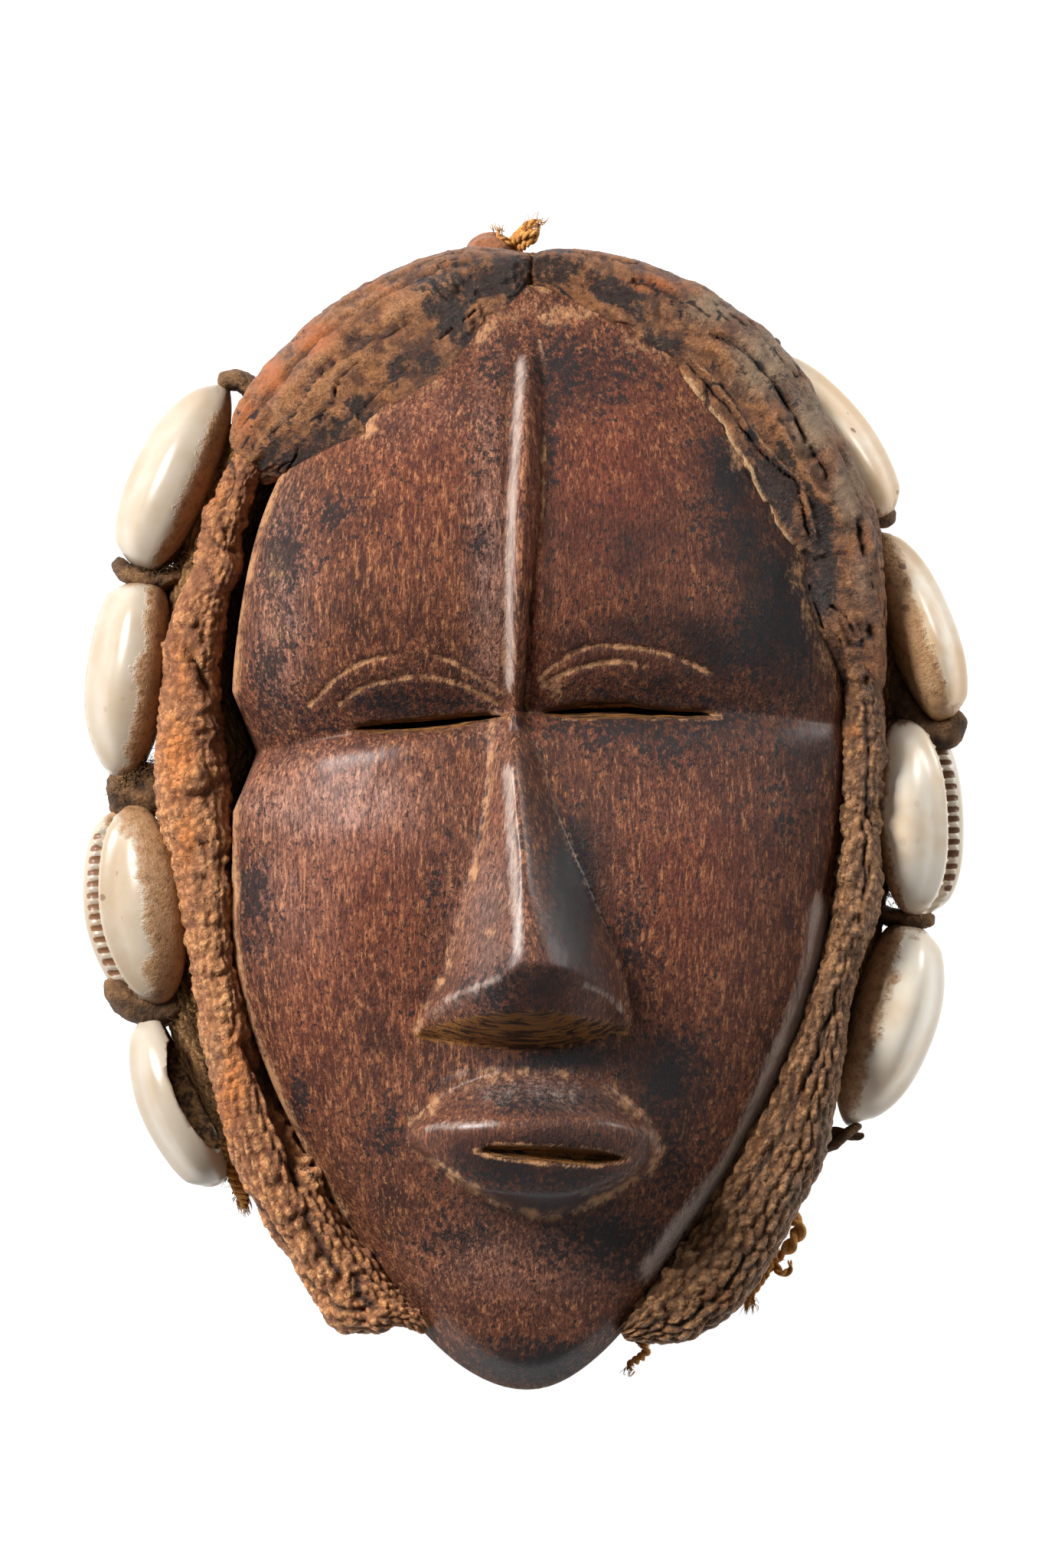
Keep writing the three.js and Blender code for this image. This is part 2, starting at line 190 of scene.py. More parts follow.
def length_of(line: Points) -> float:
    """How long a line is, in mm."""
    return float(np.linalg.norm(np.diff(line, axis=0), axis=1).sum())


def lattice_noise(points: Points, scale: float, seed: int) -> Points:
    """Smooth noise.

    Args:
        points: Places, in mm.
        scale: The size of its lumps, in mm.
        seed: Which noise it is.

    Returns:
        A number from -1 to 1 for each place.
    """
    at = points / scale + 1000.0 + seed * 17.31
    cell = np.floor(at).astype(np.int64)
    part = at - cell
    soft = part * part * part * (part * (part * 6 - 15) + 10)
    total = np.zeros(len(points))
    for corner in np.ndindex(2, 2, 2):
        shift = np.array(corner)
        c = (cell + shift).astype(np.uint64)
        mix = (c[:, 0] * np.uint64(73856093)) ^ (c[:, 1] * np.uint64(19349663))
        mix ^= (c[:, 2] * np.uint64(83492791)) ^ np.uint64(seed * 2654435761 % 2**32)
        mix = (mix ^ (mix >> np.uint64(13))) * np.uint64(1274126177)
        mix ^= mix >> np.uint64(16)
        value = (mix % np.uint64(65536)).astype(float) / 32767.5 - 1.0
        weight = np.prod(np.where(shift == 1, soft, 1 - soft), axis=1)
        total += weight * value
    return total


def layered_noise(points: Points, scale: float, seed: int, layers: int = 3) -> Points:
    """Noise with finer noise on it.

    Args:
        points: Places, in mm.
        scale: The size of its largest lumps, in mm.
        seed: Which noise it is.
        layers: How many sizes it has, each half the one before.

    Returns:
        A number from about -1 to 1 for each place.
    """
    total = np.zeros(len(points))
    for k in range(layers):
        total += lattice_noise(points, scale / 2**k, seed + k) / 2**k
    return total / (2 - 2 ** (1 - layers))


def at_height(xy: Points, z: float = 0.0) -> Points:
    """The same points with one z, which is 0 for noise over a plan."""
    return np.column_stack([xy, np.full(len(xy), z)])


def warped(points: Points, size: float, amount: float, seed: int) -> Points:
    """The plan of points, shifted to and fro, which gives marks over it uneven edges."""
    shift = [layered_noise(points, size, seed + k) for k in range(2)]
    return points[:, :2] + amount * np.column_stack(shift)


def ball(turn: Points, down: Points) -> Points:
    """A ball of radius 1 along y, at places round it and along it from 0 to 1.

    Args:
        turn: Places round it, from 0 to 1.
        down: Places along it, from 0 to 1.

    Returns:
        The points.
    """
    angle = 2 * math.pi * turn
    end = -np.cos(math.pi * down)
    full = np.sqrt(np.clip(1 - end**2, 0, 1))
    return np.column_stack([full * np.cos(angle), end, full * np.sin(angle)])


# Meshes

def write_points(mesh: bpy.types.Mesh, points: Points) -> None:
    """Puts a mesh's vertices at points given in mm."""
    mesh.vertices.foreach_set("co", (points * MM).astype(np.float32).ravel())
    mesh.update()


def read_points(mesh: bpy.types.Mesh) -> Points:
    """The vertices of a mesh, in mm.

    Args:
        mesh: The mesh.

    Returns:
        One row of x, y and z for each vertex.
    """
    flat = np.empty(len(mesh.vertices) * 3, dtype=np.float32)
    mesh.vertices.foreach_get("co", flat)
    return flat.reshape(-1, 3).astype(float) / MM


def read_normals(mesh: bpy.types.Mesh) -> Points:
    """The vertex normals of a mesh.

    Args:
        mesh: The mesh.

    Returns:
        One row of x, y and z for each vertex.
    """
    flat = np.empty(len(mesh.vertices) * 3, dtype=np.float32)
    mesh.vertex_normals.foreach_get("vector", flat)
    return flat.reshape(-1, 3).astype(float)


def keep_values(piece: bpy.types.Object, **values: Union[Points, float]) -> None:
    """Stores numbers, kept from 0 to 1, for each vertex, under names that a material reads.

    Args:
        piece: The piece.
        values: The numbers, or one number for all the vertices.
    """
    mesh = piece.data
    for name, value in values.items():
        spread = np.broadcast_to(np.clip(value, 0, 1), len(mesh.vertices))
        layer = mesh.attributes.new(name, "FLOAT", "POINT")
        layer.data.foreach_set("value", spread.astype(np.float32))


def finished(bm: bmesh.types.BMesh, name: str) -> bpy.types.Object:
    """Makes a shown object of a bmesh and frees it.

    Args:
        bm: The shape, in metres.
        name: The piece's name.

    Returns:
        The object, linked to the scene.
    """
    mesh = bpy.data.meshes.new(name)
    bm.to_mesh(mesh)
    bm.free()
    mesh.polygons.foreach_set("use_smooth", np.ones(len(mesh.polygons), dtype=bool))
    made = bpy.data.objects.new(name, mesh)
    bpy.context.scene.collection.objects.link(made)
    return made


def applied(piece: bpy.types.Object) -> None:
    """Makes a piece's modifiers part of its mesh.

    Args:
        piece: The piece.
    """
    graph = bpy.context.evaluated_depsgraph_get()
    mesh = bpy.data.meshes.new_from_object(piece.evaluated_get(graph))
    old = piece.data
    piece.modifiers.clear()
    piece.data = mesh
    mesh.name = old.name
    bpy.data.meshes.remove(old)


def cut_away(piece: bpy.types.Object, cutters: Sequence[bpy.types.Object]) -> None:
    """Takes the solids of cutters out of a piece and removes the cutters.

    Args:
        piece: The piece.
        cutters: Closed solids.
    """
    for cutter in cutters:
        cut = piece.modifiers.new(cutter.name, "BOOLEAN")
        cut.operation = "DIFFERENCE"
        cut.solver = "MANIFOLD"
        cut.object = cutter
    applied(piece)
    for cutter in cutters:
        bpy.data.objects.remove(cutter)


def move_points(bm: bmesh.types.BMesh, points: Points) -> None:
    """Puts a bmesh's vertices at points given in mm."""
    for vert, point in zip(bm.verts, points * MM):
        vert.co = point


def disc_grid(across: int, lengthways: int) -> tuple[bmesh.types.BMesh, Points]:
    """A grid that is to be moved to a rounded outline.

    Args:
        across: Faces from side to side.
        lengthways: Faces from end to end.

    Returns:
        The bmesh, and the place of each vertex on a disc of radius 1.
    """
    bm = bmesh.new()
    bmesh.ops.create_grid(bm, x_segments=across, y_segments=lengthways, size=1.0)
    square = np.array([v.co for v in bm.verts])[:, :2]
    return bm, square * np.sqrt(1 - square[:, ::-1] ** 2 / 2)


def raised_rim(bm: bmesh.types.BMesh, rim: list[bmesh.types.BMEdge]
               ) -> tuple[list[bmesh.types.BMEdge], list[bmesh.types.BMVert]]:
    """A row of faces added along a rim.

    Args:
        bm: The shape.
        rim: The rim's edges.

    Returns:
        The new rim's edges, and its vertices, which the caller moves.
    """
    made = bmesh.ops.extrude_edge_only(bm, edges=rim)["geom"]
    edges = [part for part in made if isinstance(part, bmesh.types.BMEdge)]
    return edges, [part for part in made if isinstance(part, bmesh.types.BMVert)]


def face_out(bm: bmesh.types.BMesh) -> None:
    """Turns the faces of a closed form, which all lie the same way, outward.

    Args:
        bm: The form.
    """
    bm.normal_update()
    if bm.calc_volume(signed=True) < 0:
        bmesh.ops.reverse_faces(bm, faces=bm.faces)


def form_of(around: int, along: int, place: Callable[[Points, Points], Points]
            ) -> tuple[bmesh.types.BMesh, Points, Points]:
    """A sphere whose points are moved to a form.

    Args:
        around: Faces round it.
        along: Faces from its start to its end.
        place: Gives points in mm for the place round (0 to 1) and along (0 to 1).

    Returns:
        The bmesh in metres, facing out, and each vertex's place round and along.
    """
    bm = bmesh.new()
    bmesh.ops.create_uvsphere(bm, u_segments=around, v_segments=along, radius=1.0)
    co = np.array([v.co for v in bm.verts])
    turn = np.round((np.arctan2(co[:, 1], co[:, 0]) / (2 * math.pi)) % 1.0 * around) / around
    down = np.round(np.arccos(np.clip(co[:, 2], -1, 1)) / math.pi * along) / along
    move_points(bm, place(turn, down))
    face_out(bm)
    return bm, turn, down


@dataclass(frozen=True)
class Bar:
    """A rounded bar that swells between an inner and an outer edge, as x, y and z in mm."""

    inner: Points
    outer: Points
    top: float
    bottom: float
    ends: float = 0.25
    square: float = 0.85
    lean: float = 1.0  # how much of the top's height is there right at the inner edge

    def place(self, turn: Points, down: Points) -> Points:
        """The bar's surface at places round and along it.

        Args:
            turn: Places round it, from 0 to 1.
            down: Places along it, from 0 to 1.

        Returns:
            The points, in mm.
        """
        part = self.part(down)
        middle = (self.inner + self.outer) / 2
        across = (pick(self.outer, part) - pick(self.inner, part)) / 2
        tangent = pick(middle, part + 0.02) - pick(middle, part - 0.02)
        up = np.cross(across, tangent)
        up *= (np.sign(up[:, 2]) / np.linalg.norm(up, axis=1))[:, None]
        swell = (4 * part * (1 - part)) ** self.ends
        sine = np.sin(2 * math.pi * turn)
        rise = self.lean + (1 - self.lean) * smooth_step(0, 0.55, self.side(turn))
        lift = np.abs(sine) ** self.square * np.where(sine > 0, self.top * rise, -self.bottom)
        side = 2 * self.side(turn) - 1
        return (pick(middle, part) + across * (side * swell)[:, None]
                + up * (lift * swell)[:, None])

    def part(self, down: Points) -> Points:
        """How far along the edges a place along the form lies; closer steps at the ends."""
        return 0.6 * down + 0.4 * (1 - np.cos(math.pi * down)) / 2

    def side(self, turn: Points) -> Points:
        """How far across a place round the form lies: 0 at the inner edge and 1 at the outer."""
        cosine = np.cos(2 * math.pi * turn)
        return (1 - np.sign(cosine) * np.abs(cosine) ** self.square) / 2


def swollen(points: Points, normals: Points, amount: Points) -> Points:
    """Points moved along their normals."""
    return points + normals * amount[:, None]


def crackle(points: Points, size: float, seed: int, thin: float = 0.07) -> Points:
    """A net of thin lines: 1 on a line and 0 away from it."""
    return np.exp(-((layered_noise(points, size, seed, 3) / thin) ** 2))


def pebbles(strip: Points, size: float, seed: int) -> Points:
    """Close-set round bumps.

    Args:
        strip: Places on a surface, in mm, of which the first two numbers count.
        size: How far apart the bumps are, in mm.
        seed: Which bumps they are.

    Returns:
        1 on a bump and 0 between them.
    """
    at = strip[:, :2] / size
    cell = np.floor(at)
    best = np.full(len(at), 9.0)
    for step in np.ndindex(3, 3):
        corner = cell + np.array(step) - 1
        shift = [lattice_noise(at_height(corner * 7.31), 1.7, seed + k) for k in range(2)]
        middle = corner + 0.5 + 0.42 * np.column_stack(shift)
        best = np.minimum(best, np.linalg.norm(at - middle, axis=1))
    return np.clip(1 - (best / 0.66) ** 2, 0, 1) ** 0.7


def loops(along: Points, rows: Points, slant: float) -> Points:
    """Rows of stitches, each row set half a stitch on from the one before.

    Args:
        along: Places along the rows, one stitch to each whole number.
        rows: Places over the rows, one row to each whole number.
        slant: How much each stitch leans; neighbouring rows lean both ways.

    Returns:
        1 on the back of a stitch and 0 between them.
    """
    row = np.floor(rows)
    odd = np.mod(row, 2)
    over = rows - row - 0.5
    shifted = along + 0.5 * odd + slant * over * (2 * odd - 1)
    part = 2 * (shifted - np.floor(shifted)) - 1
    return np.clip(1 - np.abs(part) ** 2.2 - (2 * over) ** 2, 0, 1) ** 0.6


def joined(forms: Iterable[bmesh.types.BMesh]) -> bmesh.types.BMesh:
    """Several bmeshes as one.

    Args:
        forms: The bmeshes, which are freed.

    Returns:
        The one bmesh.
    """
    whole = bmesh.new()
    for bm in forms:
        part = bpy.data.meshes.new("part")
        bm.to_mesh(part)
        bm.free()
        whole.from_mesh(part)
        bpy.data.meshes.remove(part)
    return whole


@dataclass(frozen=True)
class Strand:
    """A yarn of twisted plies along a route of x, y and z in mm."""

    route: Sequence[Place]
    thick: float
    plies: int = 2
    twists: float = 4.0
    taper: float = 0.45
    around: int = 8
    along: int = 60

    def forms(self) -> list[bmesh.types.BMesh]:
        """Each ply as a bmesh.

        Returns:
            The bmeshes, in metres.
        """
        line = curve(self.route, 120)
        run = np.gradient(line, axis=0)
        side = np.cross(run, (0.31, 0.2, 0.93))
        side /= np.linalg.norm(side, axis=1)[:, None]
        up = np.cross(side, run)
        up /= np.linalg.norm(up, axis=1)[:, None]

        def ply(number: int) -> bmesh.types.BMesh:
            """One ply, wound round the route.

            Args:
                number: Which ply it is.

            Returns:
                The bmesh, in metres.
            """
            def place(turn: Points, down: Points) -> Points:
                """Its surface.

                Args:
                    turn: Places round it, from 0 to 1.
                    down: Places along it, from 0 to 1.

                Returns:
                    The points, in mm.
                """
                full = (1 - self.taper * down) * self.thick / 2
                wound = 2 * math.pi * (self.twists * down + number / self.plies)
                offset = full * (0.48 if self.plies > 1 else 0)
                swell = np.clip(4 * down * (1 - down), 0, 1) ** 0.35 * full
                swell = swell * (0.62 if self.plies > 1 else 1)
                across = offset * np.cos(wound) + swell * np.cos(2 * math.pi * turn)
                high = offset * np.sin(wound) + swell * np.sin(2 * math.pi * turn)
                return (pick(line, down) + pick(side, down) * across[:, None]
                        + pick(up, down) * high[:, None])
            return form_of(self.around, self.along, place)[0]

        return [ply(number) for number in range(self.plies)]


def fibre(root: Points, reach: Points, bend: Points, thick: float) -> bmesh.types.BMesh:
    """A hair: a thin three-sided spike that bends.

    Args:
        root: Where it starts.
        reach: From its start to its tip.
        bend: How far its middle lies beside the straight line.
        thick: How thick it is at its root.

    Returns:
        The bmesh, in metres.
    """
    bm = bmesh.new()
    side = np.cross(reach, (0.4, 0.3, 0.87))
    side /= max(np.linalg.norm(side), 1e-6)
    up = np.cross(reach, side)
    up /= max(np.linalg.norm(up), 1e-6)
    rings = []
    for part in (0.0, 0.35, 0.7):
        middle = root + reach * part + bend * (4 * part * (1 - part))
        wide = thick / 2 * (1 - 0.6 * part)
        ring = []
        for k in range(3):
            turn = 2 * math.pi * k / 3
            at = middle + (side * math.cos(turn) + up * math.sin(turn)) * wide
            ring.append(bm.verts.new(at * MM))
        rings.append(ring)
    tip = bm.verts.new((root + reach) * MM)
    for low, high in zip(rings[:-1], rings[1:]):
        for k in range(3):
            bm.faces.new((low[k], low[(k + 1) % 3], high[(k + 1) % 3], high[k]))
    for k in range(3):
        bm.faces.new((rings[-1][k], rings[-1][(k + 1) % 3], tip))
    bm.faces.new(rings[0][::-1])
    face_out(bm)
    return bm


# Shaders

Link = Union["Signal", float]
Shade = Union["Signal", Colour]
MIX_FIRST, MIX_SECOND, MIX_RESULT = 6, 7, 2  # places of a Mix node's colour sockets


class Signal:
    """A number that changes over a surface: one output of a shader's nodes."""

    def __init__(self, kit: "ShaderKit", socket: bpy.types.NodeSocket) -> None:
        self.kit = kit
        self.socket = socket

    def maths(self, operation: str, *others: Link, clamp: bool = False) -> "Signal":
        """A Math node on this number and others.

        Args:
            operation: The node's operation.
            others: Its further inputs.
            clamp: Whether its result stays from 0 to 1.

        Returns:
            Its result.
        """
        inputs = dict(enumerate((self, *others)))
        settings = {"operation": operation, "use_clamp": clamp}
        return self.kit.node("ShaderNodeMath", settings, inputs)[0]

    def __add__(self, other: Link) -> "Signal":
        """The sum."""
        return self.maths("ADD", other)

    __radd__ = __add__

    def __sub__(self, other: Link) -> "Signal":
        """The difference."""
        return self.maths("SUBTRACT", other)

    def __rsub__(self, other: float) -> "Signal":
        """The difference from a plain number."""
        return (self * -1.0) + other

    def __mul__(self, other: Link) -> "Signal":
        """The product."""
        return self.maths("MULTIPLY", other)

    __rmul__ = __mul__

    def clamped(self) -> "Signal":
        """The number kept from 0 to 1."""
        return self.maths("ADD", 0.0, clamp=True)

    def rising(self, low: float, high: float) -> "Signal":
        """A soft step: 0 below low, 1 above high.

        Args:
            low: Where the step starts.
            high: Where it is complete.

        Returns:
            The step.
        """
        settings = {"interpolation_type": "SMOOTHSTEP"}
        inputs = {"Value": self, "From Min": low, "From Max": high}
        return self.kit.node("ShaderNodeMapRange", settings, inputs)["Result"]


class Outputs:
    """The outputs of a node, by name or place, as signals."""

    def __init__(self, kit: "ShaderKit", node: bpy.types.Node) -> None:
        self.kit = kit
        self.made = node

    def __getitem__(self, key: Union[str, int]) -> Signal:
        """One output."""
        return Signal(self.kit, self.made.outputs[key])


class ShaderKit:
    """One material's nodes, made by one method."""

    def __init__(self, name: str) -> None:
        """Starts a material that has only its shader and its output.

        Args:
            name: The material's name.
        """
        self.material = bpy.data.materials.new(name)
        self.material.use_nodes = True
        self.tree = self.material.node_tree
        self.tree.nodes.clear()
        self.shader = self.tree.nodes.new("ShaderNodeBsdfPrincipled")
        output = self.tree.nodes.new("ShaderNodeOutputMaterial")
        self.tree.links.new(self.shader.outputs[0], output.inputs["Surface"])
        self.place = self.node("ShaderNodeTexCoord")["Object"]

    def node(self, kind: str, settings: Optional[dict] = None,
             inputs: Optional[dict] = None) -> Outputs:
        """Makes one node.

        Args:
            kind: The node's type.
            settings: Its properties.
            inputs: Values or signals for its sockets, by name or place.

        Returns:
            Its outputs.
        """
        made = self.tree.nodes.new(kind)
        for key, value in (settings or {}).items():
            setattr(made, key, value)
        for key, value in (inputs or {}).items():
            self.feed(made.inputs[key], value)
        return Outputs(self, made)

    def feed(self, socket: bpy.types.NodeSocket, value: object) -> None:
        """Links a signal to a socket, or sets its plain value.

        Args:
            socket: The socket.
            value: A signal, a number or a colour.
        """
        if isinstance(value, Signal):
            self.tree.links.new(value.socket, socket)
        elif isinstance(value, tuple) and len(value) == 3 and len(socket.default_value) == 4:
            socket.default_value = (*value, 1.0)
        else:
            socket.default_value = value

    def stretched(self, scale: Sequence[float]) -> Signal:
        """The place on the object in mm, stretched along its axes."""
        inputs = {"Vector": self.place, "Scale": tuple(s / MM for s in scale)}
        return self.node("ShaderNodeMapping", None, inputs)[0]

    def noise(self, size: float, detail: float = 3.0, rough: float = 0.55,
              stretch: Sequence[float] = (1, 1, 1), warp: float = 0.0) -> Signal:
        """A Noise node.

        Args:
            size: The size of its lumps, in mm.
            detail: How many finer layers it has.
            rough: How strong these are.
            stretch: How much smaller its lumps are along each axis.
            warp: How much it is distorted.

        Returns:
            A number from 0 to 1, mostly near 0.5.
        """
        inputs = {"Vector": self.stretched([s / size for s in stretch]), "Scale": 1.0,
                  "Detail": detail, "Roughness": rough, "Distortion": warp}
        return self.node("ShaderNodeTexNoise", None, inputs)["Fac"]

    def cells(self, size: float) -> Signal:
        """The distance from the middle of the nearest of many cells of a size in mm."""
        inputs = {"Vector": self.stretched([1 / size] * 3), "Scale": 1.0}
        return self.node("ShaderNodeTexVoronoi", {"feature": "F1"}, inputs)["Distance"]

    def stored(self, name: str) -> Signal:
        """A number that the mesh stores for each vertex."""
        return self.node("ShaderNodeAttribute", {"attribute_name": name})["Fac"]

    def mixed(self, factor: Link, first: Shade, second: Shade) -> Signal:
        """A colour Mix node.

        Args:
            factor: How much of the second colour shows.
            first: A colour or a signal.
            second: A colour or a signal.

        Returns:
            The mixed colour.
        """
        inputs = {"Factor": factor, MIX_FIRST: first, MIX_SECOND: second}
        return self.node("ShaderNodeMix", {"data_type": "RGBA"}, inputs)[MIX_RESULT]

    def bump(self, height: Signal, depth: float) -> Signal:
        """A Bump node.

        Args:
            height: The height, from 0 to 1.
            depth: How much a height of 1 stands out, in mm.

        Returns:
            The bumped normal.
        """
        inputs = {"Height": height, "Distance": depth * MM, "Strength": 1.0}
        return self.node("ShaderNodeBump", None, inputs)["Normal"]

    def finish(self, colour: Signal, rough: Link, normal: Optional[Signal] = None,
               **plain: float) -> bpy.types.Material:
        """Sets the shader.

        Args:
            colour: The base colour.
            rough: The roughness.
            normal: The bumped normal.
            plain: Plain values for further sockets, with _ for a space.

        Returns:
            The material.
        """
        self.feed(self.shader.inputs["Base Color"], colour)
        self.feed(self.shader.inputs["Roughness"], rough)
        if normal is not None:
            self.feed(self.shader.inputs["Normal"], normal)
        for key, value in plain.items():
            self.feed(self.shader.inputs[key.replace("_", " ")], value)
        return self.material


def tone(red: int, green: int, blue: int) -> Colour:
    """A colour as it looks on a screen, 0 to 255, in the linear numbers that a shader takes.

    Args:
        red: The red, as a screen shows it.
        green: The green.
        blue: The blue.

    Returns:
        The colour.
    """
    def linear(value: float) -> float:
        """One channel."""
        part = value / 255
        return part / 12.92 if part <= 0.04045 else ((part + 0.055) / 1.055) ** 2.4

    return (linear(red), linear(green), linear(blue))


# The wooden face


@dataclass(frozen=True)
class Outline:
    """The wood's edge as seen from the front, in mm, clockwise from the crown."""

    points: Line = (
        (1, 56), (13, 52.4), (24, 42.4), (31.4, 28), (35, 12), (34.8, -3), (31.5, -21.8),
        (25, -36), (14.9, -52.5), (7.5, -61), (0.8, -63.9), (-6.5, -61.3), (-14.1, -53.4),
        (-20.8, -42.6), (-27.2, -30), (-31, -17), (-31.2, 0), (-31, 16), (-27.4, 32.5),
        (-18.5, 46.7), (-8, 54),
    )
    centre: tuple[float, float] = (1, -1)
    notch_y: float = 5.4
    notch_depth: float = 2.8
    notch_reach: float = 6.5

    def line(self, count: int = 240) -> Points:
        """The edge as points at even steps, with its first point again at its end."""
        points = curve(self.points, count, closed=True)
        return np.vstack([points, points[:1]])

    def close_line(self) -> tuple[Points, Points]:
        """The edge as closely set points, and the directions that point out of the wood there."""
        line = self.line(720)[:-1]
        return line, left_of(np.roll(line, -1, axis=0) - np.roll(line, 1, axis=0))

    def from_edge(self, xy: Points) -> Points:
        """How far points are from the edge, in mm."""
        return nearest(xy, self.line(160))[0]

    def radius(self, turn: Points) -> Points:
        """The distance from the centre to the edge in the directions of turn.

        Args:
            turn: The directions, in radians.

        Returns:
            The distances, in mm.
        """
        line = self.line()[:-1] - self.centre
        angle = np.arctan2(line[:, 1], line[:, 0])
        order = np.argsort(angle)
        return np.interp(turn, angle[order], np.linalg.norm(line, axis=1)[order],
                         period=2 * math.pi)

    def reach(self, xy: Points) -> Points:
        """How far points are from the centre: 0 there and 1 at the edge."""
        step = xy - self.centre
        return np.linalg.norm(step, axis=1) / self.radius(np.arctan2(step[:, 1], step[:, 0]))

    def from_disc(self, disc: Points, inset: float = 0.0) -> Points:
        """Maps a disc of radius 1 to the outline.

        Args:
            disc: Points of the disc.
            inset: How far inside the outline the disc's edge comes to lie.

        Returns:
            The points, in mm.
        """
        size = np.ptp(self.line(), axis=0) / 2
        turn = np.arctan2(disc[:, 1] * size[1], disc[:, 0] * size[0])
        far = np.linalg.norm(disc, axis=1) * (self.radius(turn) - inset)
        return self.centre + far[:, None] * np.column_stack([np.cos(turn), np.sin(turn)])

    def notch(self, xy: Points) -> Points:
        """How far the eye line's notch pushes points of the left edge inwards."""
        near = 1 - np.abs(xy[:, 1] - self.notch_y) / self.notch_reach
        return np.where(xy[:, 0] < 0, self.notch_depth * np.clip(near, 0, 1), 0.0)


@dataclass(frozen=True)
class Slit:
    """An eye or mouth cut: its upper and lower edges, in mm."""

    upper: Line
    lower: Line
    depth: float

    def inside(self, xy: Points) -> Points:
        """How far points lie inside the cut, in mm; less than 0 outside it.

        Args:
            xy: The points.

        Returns:
            The distance of each.
        """
        up = through(self.upper, xy[:, 0]) - xy[:, 1]
        down = xy[:, 1] - through(self.lower, xy[:, 0])
        ends = np.minimum(xy[:, 0] - self.upper[0][0], self.upper[-1][0] - xy[:, 0])
        return np.minimum(np.minimum(up, down), ends)


